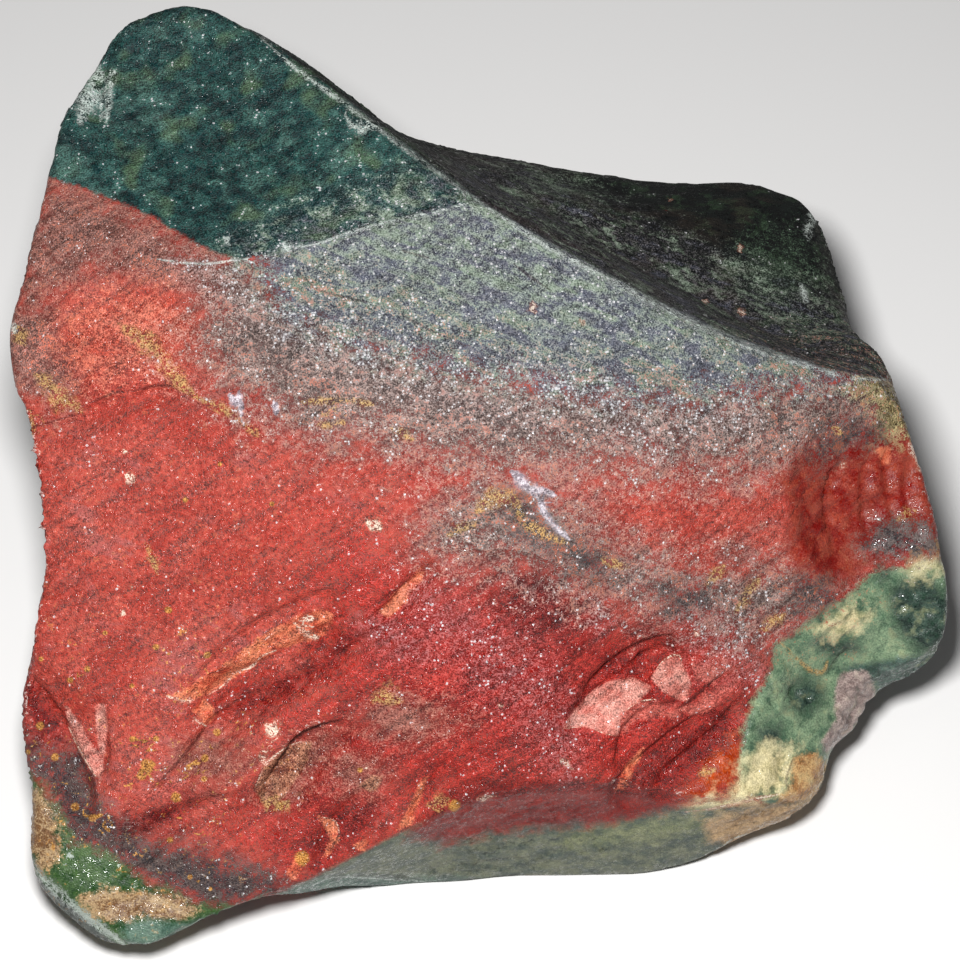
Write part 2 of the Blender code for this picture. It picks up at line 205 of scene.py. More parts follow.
def zone(
    name: str, soft: float, edge: Edge, dark: Steps, light: Steps, *outlines: str, even: bool = False
) -> Patch:
    """Describes one zone.

    Args:
        name: the zone's name.
        soft: how wide its edge fades, in millimetres.
        edge: how its edge breaks up.
        dark: its darker tone, in 0 to 255 steps.
        light: its lighter tone, in 0 to 255 steps.
        outlines: its outlines, each as the points that traced() reads.
        even: whether its two tones run softly into each other.

    Returns:
        The zone.
    """
    paths = tuple(traced(outline) for outline in outlines)
    return Patch(name, paths, soft, edge, (tone(*dark), tone(*light)), even)


def strokes(*rows: tuple[float, str]) -> tuple[Line, ...]:
    """Describes thin features: each row is a half width in millimetres and the points of the path."""
    return tuple(Line(traced(path), half_width) for half_width, path in rows)


PATCHES = (
    zone("mauve", 3.6, Edge.POWDERY, (124, 76, 66), (166, 118, 108),
         "4,17.5 9,19 15,21.5 20,24.5 26,25 30,31 25,33 20,31 15,28.6 9,27 6,29 2,31 2,24",
         "-2,30 5,30.4 7.6,33 8,38 6,40 2,39 -2,37"),
    zone("salmon", 3, Edge.POWDERY, (190, 74, 56), (218, 118, 96),
         "7,31 12,28.8 18,29 25,32 31,35 30,38.5 22,37.5 15,37 9,38 5,35"),
    zone("crimson", 9, Edge.POWDERY, (156, 22, 14), (188, 54, 44),
         "34,56 44,55 52,57 60,60 70,62 76,64 75,72 70,80 60,80 50,79 42,80 34,86 28,88 24,82 28,74 34,66"),
    # Painted shade: darker red laid in the valleys beside the broken steps, by the left chip and under the
    # scallops, where shade falls.
    zone("deep", 3, Edge.MELTED, (116, 12, 8), (150, 34, 26),
         "2.4,67 4.6,70 6.6,73 7.2,75 3,75 2,71",
         "11,82.8 13.6,80.8 17,79.4 20,79.2 19,81.6 14.6,84.2",
         "22.6,70.6 27,68 31,65.4 36,62.8 37.4,63.8 32,67.8 26.6,71.6",
         "56.8,71.4 59,68 62,65.4 65.6,63.4 66.4,65.2 62.4,67.2 59.4,69.2",
         "60.6,79.6 62.4,77 66,74.2 70,71.8 72.8,70.6 73.8,74 71,77.4 67,79.8",
         "28,87 31.6,81.6 34.6,80 38,80.4 36,84 31,87",
         "49,57 54,56.4 60,61 57,66 51,64"),
    zone("drab", 2.6, Edge.POWDERY, (132, 66, 54), (170, 104, 90),
         "27.2,77.6 29.6,74.8 31.8,73.4 33.8,73 32.4,75.8 30,78.8 28.2,80.8 26.4,79.6",
         "35.6,71.8 39,70 44,70.4 46.4,72 42,74.2 38,73.8",
         "17.6,75.2 22,73.8 25.4,75.6 22,78.4 19,77.8",
         "33,76 37,75.6 39,77.6 36,79 33,78.4"),
    zone("band", 5.2, Edge.POWDERY, (108, 86, 80), (174, 152, 144),
         "21,29 24,26 34,30 44,34 54,37 70,38 90,36 92,42 84,44 80,46.4 70,47.6 60,46.6 50,47.4 40,45 "
         "30,43.4 24,39.8 19,35",
         "43,52 48,47.6 56,49.6 62,54.6 70,57 80,56.5 85,58 82,62.4 74,64 66,61 58,59.4 50,56.6 43,55.4"),
    zone("sage", 3, Edge.POWDERY, (98, 102, 116), (136, 150, 138),
         "23.6,24 26.2,29 29,33 35,35.3 42,36.8 54,39.4 62,40.2 70,40.2 80,39.2 90,38.2 92,32 82,30 72,26 "
         "62,22 52,16 44,16.6 38,19 32,21"),
    zone("scar_red", 1.8, Edge.MELTED, (140, 14, 6), (176, 74, 56),
         "78.4,48 80,45.4 84,43.6 89,42.8 95,46 97,55 90,56.5 86,57 82,59 79,56",
         even=True),
    zone("wine", 2.6, Edge.POWDERY, (60, 48, 52), (94, 78, 74),
         "2.4,74.4 5,75.4 7.6,75.2 9.2,77.5 9.8,80.5 12,83 15,84.2 19,85 23,86 26.8,87.2 28.4,89 25,90.6 "
         "21,91.2 17.6,89.6 13,87.4 10,85.2 7.2,84.6 5.6,81 4.6,78.4 2.2,77.4"),
    zone("glow", 2, Edge.MELTED, (168, 48, 8), (210, 84, 28),
         "66.6,81.4 68.6,78.4 71,76.2 73,74 74.8,73.8 75,76.6 73.4,79 70.4,81",
         even=True),
    zone("rim_green", 0.6, Edge.BROKEN, (96, 126, 98), (156, 180, 142),
         "98,55 91,56.6 87,57.2 85,59.4 82,61 79.5,63.2 77.4,64.6 77,67 75.4,70 74.2,73 74,76 74,78.5 "
         "77,81 84,79.5 86,72 89,70 99,68",
         even=True),
    zone("rim_dark", 1.5, Edge.MELTED, (24, 42, 36), (74, 98, 84),
         "78.8,68.6 81,67.4 82.6,69.4 80.8,71.8 79,70.8",
         "81.6,64.2 85,63.6 86,65 83,65.8",
         "89,58.6 92.4,57.6 95.4,59.6 95.4,65 92,65.4 89.2,62.4",
         "75.6,72.8 78,72.2 78.8,74.4 76,74.6",
         "87.6,57.2 89,56.8 89,58 88,58.4",
         even=True),
    zone("cream", 2, Edge.MELTED, (214, 200, 146), (264, 248, 196),
         "74.6,76 76,74.6 78.8,74.6 79.8,76 79,79.2 76.8,80 73,80.8 70,81.8 67.4,81.6 71,80 73.8,78.6",
         "82,62.8 83.6,61.2 85.4,60.6 86.8,61.4 85.8,63 83.6,63.8",
         "90.8,56 94.6,55.4 94.6,56.8 91.2,57",
         even=True),
    zone("tan", 0.6, Edge.BROKEN, (184, 124, 72), (240, 200, 140),
         "79.4,75.6 81.4,75 82.8,76.6 82,79.6 79.6,80.8 76.6,81.8 77.4,80.2 79,78.8",
         even=True),
    zone("lip", 0.6, Edge.BROKEN, (36, 60, 52), (96, 126, 112),
         "84,66.8 87.4,66.2 90.4,65.8 95,65.2 95,67 91,68.4 87.4,69.4 86,67.8",
         even=True),
    zone("lumps", 0.4, Edge.BROKEN, (136, 112, 108), (216, 194, 184),
         "84,67.2 86.8,67 87.6,69.6 86.6,71.2 85.2,73 83.8,74.6 82.4,75.4 82.2,74 83.6,72 83.4,69.4",
         even=True),
    zone("wall", 0.4, Edge.STRAIGHT, (78, 90, 82), (124, 128, 104),
         "26,90.2 31,87.9 36,85.3 41,82.8 44.5,81 47.5,79.9 54,79.3 61,79.2 66,79.9 69,80.9 75,80.5 82,80 "
         "81,85 70,92 60,95 40,95 28,95",
         even=True),
    zone("wall_rim", 0.8, Edge.MELTED, (58, 88, 80), (100, 130, 114),
         "28,89.4 32,87.8 36,87.6 40,88 45,87.8 50,88.4 50,95 26,95",
         even=True),
    zone("wall_band", 1.6, Edge.MELTED, (112, 122, 88), (146, 150, 112),
         "56,83.6 60,82.6 66,81.6 72,81.4 74,82 70,83.4 64,84 57,84.6",
         even=True),
    zone("wall_wine", 1.2, Edge.MELTED, (116, 12, 6), (148, 36, 26),
         "40.5,83.8 44,80 47.5,78 54,77.8 62,77.8 69,79.9 66,81.4 60,82.6 50,83.2 44,84.4",
         even=True),
    zone("wall_tan", 1.4, Edge.MELTED, (164, 128, 88), (206, 172, 130),
         "70,82 76,80.4 81.6,79.8 80,82.6 76,84.6 71.4,84.6",
         even=True),
    zone("corner", 1.2, Edge.MELTED, (40, 76, 34), (86, 116, 66),
         "2.4,77 4.6,78.6 6,81.4 7.4,84.4 10,85 13,87 17,89 20.5,90.4 24,90.6 26.6,89.8 28,91 20,96 12,99 "
         "3,97 -1,86",
         even=True),
    zone("corner_ochre", 0.8, Edge.RAGGED, (136, 96, 62), (196, 164, 122),
         "2,78.2 4.4,79.2 5.6,81.6 6,84.4 5.6,86.6 4.2,87 2.4,84.4 1.6,81",
         "8,89.6 10.4,88.8 13,89.4 15.4,89 18,89.6 19.8,91 18.4,92.2 14,91.8 12,92.4 9,91.4"),
    zone("corner_teal", 0.8, Edge.BROKEN, (62, 98, 82), (118, 146, 128),
         "12,92.6 15,92 19,92.2 21.8,91.6 28,90.6 27,96 15,99 12.6,94.4",
         even=True),
    zone("corner_facet", 0.3, Edge.STRAIGHT, (86, 92, 88), (114, 118, 110),
         "2.4,86.2 5,89 8,91.4 10.6,93.6 12.8,95.2 12.4,99 5,97 0,90",
         even=True),
    zone("cream_rim", 1.5, Edge.RAGGED, (124, 104, 64), (206, 192, 140),
         "85.4,37.4 88.2,37.2 91.4,39.4 92,43.4 89.4,44.2 87.2,43.8 87.6,40.6 85.2,39.4"),
    zone("smoke", 2.2, Edge.POWDERY, (60, 56, 58), (112, 98, 94),
         "83.6,42.4 88.2,42.2 88.6,44 85,44.8 82,46.4 80.6,45.6",
         "57.2,54.2 60.6,55.4 60.4,58 57.2,57.2",
         "88,52 92.4,52.4 94.4,55.2 89.6,55.8 86,54.8",
         "51,49.4 54,51.6 58,55 56,56 51,53.4",
         "66,59 70,58.6 71,61 67,61.4",
         "79,58.4 82.6,57.8 83,60.4 80,61.2"),
    zone("crown", 0.4, Edge.BROKEN, (16, 50, 52), (50, 90, 84),
         "-4,15.4 4.9,17.7 9,19 15,21.5 19,24 22.5,25.6 24.5,26 28.5,25.1 35,23.3 40,21.9 44.6,20.8 "
         "47.9,20.1 44.6,17.2 40,13 30,3 20,-5 6,-5 -4,8",
         even=True),
    # Dark green stone, its tones taken down near black as painted shade where the back facets turn away from
    # the key light.
    zone("back", 0.2, Edge.STRAIGHT, (0, 1, 1), (13, 21, 17),
         "25.6,2.6 30.2,6.6 35.2,10.3 40.2,14.2 44.4,17.4 47.8,19.8 53,23.1 60.5,27.2 67.5,31 75,34.2 "
         "82.5,36.8 88.4,37.9 91,34 87,30 85,18 80,12 60,8 45,8 30,-2"),
    zone("back_end", 0.7, Edge.BROKEN, (30, 34, 31), (56, 57, 52),
         "81.4,19.4 82.8,20.4 84,25 85.6,32.6 84,32.4 82.6,29 81.4,25"),
    zone("back_pale", 3, Edge.POWDERY, (26, 38, 30), (66, 84, 66),
         "72,27 75,24.6 79,24.4 81.4,27 80.6,30.6 84,34 80,33.4 76,30.6",
         "52,18.6 56,18 60,20 57,21"),
    zone("facet_brown", 0.3, Edge.STRAIGHT, (132, 70, 52), (188, 128, 100),
         "25.3,78.9 26.4,76.8 27.8,75.4 29.6,74.4 31.2,74.2 30.6,76.4 29.4,78.2 28.3,79.8 26.7,80.8",
         "35.9,78.6 37.2,77.4 38.4,77.8 37.4,79.4"),
    # Painted highlight: the sides of small steps and the crescent on the scar that face the key light are
    # painted a lighter orange.
    zone("lit", 0.3, Edge.BROKEN, (200, 76, 50), (238, 138, 100),
         "17.2,69.7 20.6,67.5 22.8,66.1 25,64.5 27.8,62.5 30,61.4 32.2,60.9 33.3,61.4 32.8,63.3 30.6,64.1 "
         "27.8,64.9 25,66.7 22.2,68.5 19.4,70.1",
         "19.2,71 20.4,69.8 21.6,71.4 20.8,72.6",
         "38,61.2 39.4,59.4 40.8,58 42.6,56.3 42.2,57.8 40.6,60 38.8,61.8",
         "31.8,81.6 33.6,82.2 33.9,84.4 32.4,85.8 33,83.6",
         "28.6,87.2 30,85.2 30.4,86.6 29.4,88",
         "39.6,83 41,80.4 42.4,77.6 42.8,77.4 42,80 41.2,82.4",
         "35.4,84.6 36.8,83.6 37,84.6 36,85.4",
         "61.6,79 62.6,76.4 64.4,74.8 63.4,77 62.4,79",
         "87.7,44.8 88.9,44.6 89.2,46 88.2,46.6",
         even=True),
    zone("pink_facets", 0.28, Edge.STRAIGHT, (206, 110, 96), (238, 166, 150),
         "56.2,72.8 57.5,70.9 59.3,69.1 60.9,68.1 63.3,67.8 65.2,68.7 63.8,70.2 62.2,71.5 61.8,73.6 "
         "60.6,73.3 58.5,72.6",
         "65.1,67.8 66.2,66.2 67.7,65.4 68.3,66.5 69.1,68.3 68.8,70.2 67.5,69.9 66.2,69.1",
         "6.4,70.3 8.3,72.8 10.3,76.7 10,78.4 8.3,75.6 6.9,72.8",
         "9.5,70.6 10.5,70.3 10.8,72.8 10.3,76.1 9.7,73.9",
         "53.8,65.4 54.4,64.8 54.6,65.8",
         even=True),
    zone("rosy_facets", 0.5, Edge.BROKEN, (180, 66, 56), (212, 108, 94),
         "62.2,71.5 63.8,70.2 66.2,69.9 68.8,70.7 67.5,71.7 64.8,71.6 63.3,72.3 62.3,73.4",
         "68.8,70.4 70.6,69.4 72.7,68.3 73.8,67.8 73.3,69.4 71.2,70.9 69,71.7",
         "69.2,66.4 72.7,65.2 74.3,66.7 71.2,68.2 69.6,68",
         "12,80.4 16,78.4 20,77.6 16,80",
         even=True),
)

OCHRE = strokes(
    (0.7, "1.6,32.6 2.4,34.4"),
    (0.9, "3.6,37.4 5.6,39.4 8,41"),
    (0.8, "12,32.6 14,33.8 16,36 17.2,37.6 19.4,39.6"),
    (0.45, "19.4,39.6 23,41.4 26,43.6"),
    (0.35, "30,40.3 34,40 37.4,40.5"),
    (0.4, "31.6,42.6 34.6,42.2"),
    (0.4, "39,42.8 41.4,44"),
    (0.8, "47.6,51.4 49.4,49.6 51.4,49.2"),
    (0.5, "51.4,49.2 52.2,51.8 54.4,53.4 57,54.4"),
    (0.5, "44.5,53.6 47.6,52.4"),
    (0.4, "60,55.8 63,56.8"),
    (0.4, "14.6,54.4 15.2,56 15.8,57.4"),
    (0.55, "2.4,41.6 3.2,43.6"),
    (0.6, "43,80.6 45,80"),
    (0.8, "26.6,81 27.6,79.6"),
    (0.5, "28,80.8 29,80.2"),
    (0.9, "37.4,70.1 38.8,69.6 40.2,70"),
    (0.45, "73.6,61.2 76,57.6"),
    (0.4, "70.6,58.6 72.4,56.6"),
    (0.5, "76,63 78.5,61.5"),
    (0.45, "89.6,52 91.6,51"),
    (0.5, "93.6,54 94.8,55.6"),
    (0.4, "83.2,42.8 84.2,43.4"),
    (0.22, "78,64.2 79.8,66 82,67.4 82.8,66"),
    (0.6, "70,77.4 71.4,77"),
)

QUARTZ = strokes(
    (0.55, "51.2,47.2 52.6,48.6 54,50"),
    (0.4, "54,50 54.6,51.6 57,54"),
    (0.35, "52.6,48.6 55.6,49.6"),
    (0.6, "23,39.6 24.2,40.4"),
    (0.3, "23.8,40.2 24.4,42.6"),
    (0.3, "27.4,40 27.8,41.6"),
)

PALE_CHIPS = strokes(
    (0.8, "26.7,72.6 28,73.4"),
    (0.5, "26,75.6 26.8,76.2"),
    (0.7, "36.9,52.3 37.9,52.8"),
    (0.5, "12.6,47.6 13.4,48.2"),
    (0.3, "12.3,45 12.7,45.4"),
    (0.3, "13,58.6 13.3,59"),
    (0.35, "12.1,61 12.5,61.4"),
    (0.7, "91,44.4 91.8,45.8 92,47"),
    (0.4, "84,46.8 84.6,46.2"),
    (0.45, "53.3,30.2 53.6,31.2"),
    (0.3, "57.9,31.9 58.5,32.5"),
    (0.25, "70.2,30 70.9,30.3"),
    (0.25, "73.6,31 74.8,31.5"),
    (0.26, "73.9,24.4 74.1,25.2"),
    (0.2, "66.7,19.9 67.4,20"),
    (0.3, "69.4,63 69.9,63.6"),
    (0.3, "49.8,70.4 50.2,70.8"),
    (0.34, "29.4,62.3 30.4,63.2 31.4,63.8 32.2,63.6"),
    (0.26, "30.2,61.9 31.6,61.8"),
    (0.4, "16.7,69.6 18,70 19.2,70"),
    (0.24, "19.2,71.8 20.6,72.6"),
    (0.16, "20.6,69.6 22.4,68.5 23.6,67.2 25,66.8 26.2,65.6 27.8,65"),
    (0.14, "68.4,81.2 71,80.9 74.6,80.1 78,79.4"),
    (0.08, "56.2,72.9 58.5,72.7 60.6,73.4 61.8,73.6"),
    (0.08, "65.1,67.8 66.2,66.2 67.7,65.4 68.3,66.5"),
    (0.08, "62.2,71.5 63.8,70.2 66.2,69.9"),
    (0.1, "25.3,79.2 26.4,76.8 27.8,75.3 29.6,74.3 31.2,74.1"),
    (0.12, "10,78.3 8.3,75.6 6.8,72.6"),
    (0.1, "33.9,84.4 33.7,82.3 32.2,81.7"),
    (0.3, "36.4,76.6 36.8,77"),
    (0.3, "56,76 57.4,77"),
    (0.25, "47.6,80 49.6,79.6"),
)

BRUISES = strokes(
    (0.25, "47.5,19.9 50,21.6 55,24.8 60,27.4 65,30.1 70,32.6 75,34.7 80,36.3 84.5,37.7 89.4,38"),
    (0.2, "26,3.7 30,7.2 35,10.7 40,14.5 44,17.4 47.5,19.9"),
    (0.12, "29,24.9 32,24.3 35,23.2 40,21.9 45,20.8 47.5,20.1"),
    (0.3, "34.5,11.6 36,13.2 37.2,12.4"),
    (0.8, "9.8,6.6 9.4,8.6 8.6,10.4 8,12"),
    (0.25, "11.6,6.8 11,9 10.6,12.4"),
    (0.5, "28.4,24.4 28.9,25.2"),
    (0.45, "24.8,26 26.2,25.6"),
    (0.4, "22.4,23.8 23,24.4"),
    (0.09, "15,25.8 20,26.4 24,25.9"),
    (0.34, "2.9,86 4.6,88.2 7.4,90.6 10,92.6 12.4,94.4"),
    (0.3, "6.6,85.4 7.2,85.8"),
    (0.08, "29.6,89.6 33,87.8 38,87.9 43,88.2 48,88.6 54,88.4 60,88.2 65,87.6 69,87 71.4,85.6 73.4,83.8 "
           "77.6,82.8"),
    (0.5, "0.8,32.2 1.4,33.2"),
    (0.3, "81.4,20.6 81,22.4 80.8,24"),
    (0.25, "80,28.4 80.8,30.2"),
)

CRACKS = strokes(
    (0.14, "29.5,26.8 31.6,28.8 34,29.6 37.6,30.4"),
    (0.13, "40,31.4 43,33 46.6,34.6"),
    (0.13, "51.4,26.4 53.2,27.8 55.2,29.1"),
    (0.12, "40,25 43.2,25.9"),
    (0.16, "9,40.3 11,39.4 12.6,39.2"),
    (0.16, "13.2,39.2 15.4,38.6 17.6,38.7"),
    (0.13, "15.2,79 18.8,75 20.6,72.6"),
    (0.16, "34.4,71.9 31,72.8 29,74.4 27.6,76.4"),
    (0.16, "67.8,70.9 69.6,69.5 72.6,66.9"),
    (0.16, "9.1,76.6 9.7,80"),
    (0.14, "33,85 34.2,83"),
    (0.3, "40.2,65.6 40.6,65.8"),
    (0.14, "1.5,43.4 4.4,42.4 7.5,41.5"),
    (0.12, "79,79.2 78.6,78 79.4,75.6"),
    (0.3, "48,20 52,22 58,25"),
)

GLITTER = strokes(
    (2.2, "24,30 30,33.4 35,34.6 43,38.4 50,40.6 56,42"),
    (1.6, "60,43 70,42 76,42"),
    (2.6, "41,59 47,64 54,70 57,78"),
    (1.6, "59,62 61,62.4"),
    (2.4, "68,62 72,64 76,68"),
    (1.3, "17,26 24,29"),
    (2.2, "50,36 60,40 66,46"),
    (1.6, "36,62 44,66"),
)

SPECKS = tuple(Line([(across, down), (across + SPECK_LENGTH, down)], half, 0.0) for across, down, half in (
    (4, 72.6, 0.42), (5.5, 75.7, 0.4), (7.5, 80.7, 0.42), (9.2, 81.8, 0.36), (10, 81.6, 0.3),
    (14.6, 76.5, 0.6), (14.1, 77.6, 0.46), (15.2, 76.6, 0.42), (17.6, 79.7, 0.5), (18.9, 76.7, 0.34),
    (21.7, 73.2, 0.4), (15.6, 73.9, 0.36), (13.2, 73.9, 0.28), (20.5, 75.8, 0.4), (15.6, 64.7, 0.36),
    (20.7, 65.5, 0.34), (18.5, 50, 0.3), (16.8, 61, 0.34), (13.2, 68.6, 0.26), (30.2, 85.8, 0.75),
    (7, 68, 0.34), (17, 84, 0.3), (8.7, 66.9, 0.3), (19, 87.7, 0.26), (4.1, 65.9, 0.26),
    (10.5, 63.3, 0.24), (27.9, 80.6, 0.42), (21, 88.9, 0.22), (36, 77, 0.26), (2.8, 75.2, 0.26),
    (27.2, 50.4, 0.24), (22, 46.4, 0.22), (20.4, 77.9, 0.3), (14.8, 77, 0.4), (10.8, 83, 0.24),
    (45.4, 80.6, 0.6),
))

LINE_MARKS = {
    "ochre": OCHRE,
    "quartz": QUARTZ,
    "chips": PALE_CHIPS,
    "bruise": BRUISES,
    "cracks": CRACKS,
    "specks": SPECKS,
}

FOLDS = tuple(Fold(traced(path), drop, cliff, apron) for drop, cliff, apron, path in (
    (0.98, 0.88, 3.2, "18,69 20.3,66 23,63.2 26.4,61 30,59.4 33.2,58.2"),
    (1.2, 0.62, 4.2, "18.6,71.4 20.4,69.2 22,67.8 25,66.2 29,63.8 33,61.6"),
    (0.78, 0.62, 3, "15.2,79 18.8,75 20.5,72.6 24,70 30,66.8 34.5,64.2 38,62"),
    (0.65, 0.5, 2.4, "36.4,61.8 38.5,60.3 40.4,58.2 43.4,56"),
    (1, 1.5, 5, "11,83.6 13.6,82.2 16.5,80.4 20,79.2 24,78.6"),
    (1.4, 0.88, 4.6, "2.8,66.2 5,69 7,72 8.5,75 9.4,78.6 9.8,81.5"),
    (0.59, 0.44, 1.5, "9.8,69.4 10.9,72.6 10.9,75.6 10.1,77.8"),
    (1, 0.5, 3.2, "25.4,80.4 26.4,78 28,75.6 29.6,73.8 31.6,72.6 34.8,71.6"),
    (0.65, 0.5, 2.2, "27.4,81.4 29.4,79 31,76.4 33.8,73.6 36,72.4"),
    (0.65, 0.5, 2.2, "31,86.6 31.8,83.6 33.6,80.8 36,78.8"),
    (0.72, 0.5, 1.6, "39.6,83.6 41.4,80 43,77.4 44.6,75.2"),
    (0.52, 0.5, 2, "42.6,82.4 44,79 45.6,76"),
    (1.4, 0.75, 4.2, "56,73 57.4,70 59.4,67.2 62,65 65,63.6 67.6,63.2"),
    (0.65, 0.44, 1.8, "57.5,71.5 59.4,69 61.6,67.4 64.6,65.6 67.4,64.6"),
    (0.52, 0.38, 1.8, "64.8,70.4 65,67.6 66.6,66 68.8,65"),
    (0.65, 0.38, 1.4, "68.8,65 69.4,67.6 69,69.6 68,70.6"),
    (0.59, 0.38, 2, "67.6,71.2 69.6,69.5 71.2,68 73.4,66.2"),
    (0.78, 0.5, 2.6, "61.3,77 61.6,74 62.8,71.8 65,70.3 68.4,69.8"),
    (1, 0.62, 2.8, "60.5,80 61.8,77.4 64.4,75 67.5,72.6 71.4,70.4"),
    (0.72, 0.56, 2.2, "64.5,79.4 66,77 69,74.4 71.4,72.4 73.2,69.8"),
    (0.42, 0.34, 1.7, "83.2,55.4 82.2,51 82.6,47.6 84.2,45.2"),
    (0.42, 0.34, 1.7, "86.6,55 85.8,50.5 86,47 87.2,44.4"),
    (0.42, 0.34, 1.7, "89.8,53.4 88.4,50 88,46.6 88.8,43.8"),
    (0.42, 0.34, 1.7, "91.8,54 90.4,51 90.1,48 90.8,45.4"),
    (0.39, 0.31, 2.4, "29,26.4 31.4,28.7 34,29.5 38,30.5"),
    (0.36, 0.31, 2.2, "39.6,31.2 43,32.9 47,34.8"),
    (0.34, 0.31, 2, "51,26.2 53.2,27.7 55.6,29.3"),
    (0.26, 0.31, 1.6, "39.6,24.9 43.6,26"),
    (0.36, 0.44, 2.6, "1,43.6 4.4,42.4 7.5,41.4 9.6,40.2 12.6,39.1"),
    (0.52, 0.38, 2.2, "13,39.4 15.4,38.6 18,38.7"),
    (0.39, 0.5, 3, "43,54.6 46,55 52,55 58,57.3 62,58"),
    (0.26, 0.31, 2.4, "14.6,25.6 20,26.4 24.6,25.9"),
    (0.91, 0.62, 3, "12.4,3.6 11,6 11,9 10.2,12.6"),
    (0.45, 0.5, 2.4, "21,2 21.4,5 23,7.6"),
    (0.39, 0.62, 2.4, "75,66.4 76.6,69 75.4,72.4 74.2,76"),
    (0.52, 0.5, 2, "78,64.2 79.8,66.2 82.2,67.4 83.4,66 84.4,64.4"),
    (0.52, 0.38, 1.8, "79.4,74.8 78.8,77.2 78,79.8"),
    (0.65, 0.75, 4, "60,19.6 66,22.4 72,25 78,28.4"),
    (0.52, 0.62, 3, "52,17.6 58,17.4 64,18.8"),
))

KNOBS = tuple(Knob(*sizes) for sizes in (
    (85.6, 68.4, 0.9, 0.7), (86.8, 69.3, 0.7, 0.6), (84.6, 70.2, 0.8, 0.7), (85.9, 70.9, 0.6, 0.5),
    (84, 72.2, 0.8, 0.6), (83.1, 73.6, 0.7, 0.5), (87.6, 67.4, 0.5, 0.4), (79.6, 69.2, 0.7, -0.7),
    (80.8, 69.8, 0.4, -0.5), (91.4, 59.4, 0.6, -0.5), (92.8, 61.2, 0.5, -0.45), (90.2, 60.6, 0.45, -0.4),
    (84, 61.6, 0.9, 0.3), (77, 77.6, 1.1, 0.3), (81, 63.8, 0.8, 0.25), (78.4, 67, 0.8, 0.25),
    (37.4, 52.4, 0.5, -0.35), (27.3, 73.1, 0.6, -0.4), (26.4, 76, 0.5, -0.45), (13, 47.9, 0.5, -0.3),
    (28.6, 24.9, 0.7, -0.5), (58.2, 32.2, 0.35, -0.25), (69.6, 63.3, 0.3, -0.2),
))


def ramp(values: np.ndarray, start: float, span: float) -> np.ndarray:
    """0 up to a start, 1 beyond the span after it, and straight between."""
    return np.clip((values - start) / span, 0.0, 1.0)


def polygon_depth(places: np.ndarray, outline: Outline) -> np.ndarray:
    """Measures how deep places lie inside an outline.

    Args:
        places: across and down in millimetres, one place a row.
        outline: the outline's corners.

    Returns:
        Distance to the outline, above zero inside it.
    """
    nearest = np.full(len(places), 1e9)
    inside = np.zeros(len(places), bool)
    for first, second in zip(outline, outline[1:] + outline[:1]):
        start, run = np.array(first, float), np.array(second, float) - np.array(first, float)
        away = places - start
        share = np.clip(away @ run / (run @ run), 0.0, 1.0)
        nearest = np.minimum(nearest, np.hypot(*(away - share[:, None] * run).T))
        crosses = (places[:, 1] < first[1]) != (places[:, 1] < second[1])
        slope = run[0] / run[1] if run[1] else 0.0
        inside ^= crosses & (places[:, 0] < start[0] + slope * away[:, 1])
    return np.where(inside, nearest, -nearest)


def curved(path: Outline, steps: int = 4) -> Outline:
    """Rounds a path through its own points.

    Args:
        path: the path's points.
        steps: pieces between two of them.

    Returns:
        The points of the rounded path.
    """
    ends = [np.array(point, float) for point in (path[0], *path, path[-1])]
    points = []
    for index in range(len(path) - 1):
        before, start, stop, after = ends[index:index + 4]
        for step in range(steps):
            share = step / steps
            bend = (2.0 * before - 5.0 * start + 4.0 * stop - after) * share ** 2
            twist = (3.0 * start - before - 3.0 * stop + after) * share ** 3
            point = (2.0 * start + (stop - before) * share + bend + twist) / 2.0
            points.append((float(point[0]), float(point[1])))
    return points + [path[-1]]


def beside(places: np.ndarray, path: Outline, reach: float) -> tuple[np.ndarray, ...]:
    """Finds the places near a path, and how they lie to it.

    Args:
        places: across and down in millimetres, one place a row.
        path: the path's points.
        reach: how far from the path a place may lie.

    Returns:
        Which places are near, their way from the path, how far to its right each lies, and how far
        along it, 0 to 1.
    """
    low, high = np.min(path, axis=0) - reach, np.max(path, axis=0) + reach
    near = np.flatnonzero(((places > low) & (places < high)).all(axis=1))
    close = places[near]
    best = np.full(len(near), FAR_AWAY * 10.0)
    way = np.zeros((len(near), 2))
    right = np.zeros(len(near))
    along = np.zeros(len(near))
    for index, (first, second) in enumerate(zip(path, path[1:])):
        start, run = np.array(first, float), np.array(second, float) - np.array(first, float)
        away = close - start
        share = np.clip(away @ run / (run @ run), 0.0, 1.0)
        gap = away - share[:, None] * run
        length = np.hypot(*gap.T)
        closer = length < best
        best[closer] = length[closer]
        way[closer] = gap[closer]
        side = np.sign(run[0] * away[:, 1] - run[1] * away[:, 0])
        right[closer] = (side * length)[closer]
        along[closer] = ((index + share) / (len(path) - 1))[closer]
    return near, way, right, along


def line_offset(places: np.ndarray, lines: tuple[Line, ...]) -> np.ndarray:
    """Measures how far places lie from the nearest of some lines, in half widths of that line.

    Args:
        places: across and down in millimetres, one place a row.
        lines: the lines.

    Returns:
        The way to the line as two numbers, so that it is exact between two places, and a third that
        grows beyond the line's surroundings.
    """
    best = np.full(len(places), FAR_AWAY)
    result = np.full((len(places), 2), FAR_AWAY)
    for line in lines:
        near, way, _, along = beside(places, curved(line.path), line.half_width * FAR_AWAY / 6.0)
        width = line.half_width * (1.0 - line.taper * (2.0 * along - 1.0) ** 2)
        way = way / width[:, None]
        gap = np.hypot(*way.T)
        closer = gap < best[near]
        best[near[closer]] = gap[closer]
        result[near[closer]] = way[closer]
    return np.column_stack([result, np.clip(best - LINE_SURROUNDINGS, 0.0, FAR_AWAY)])


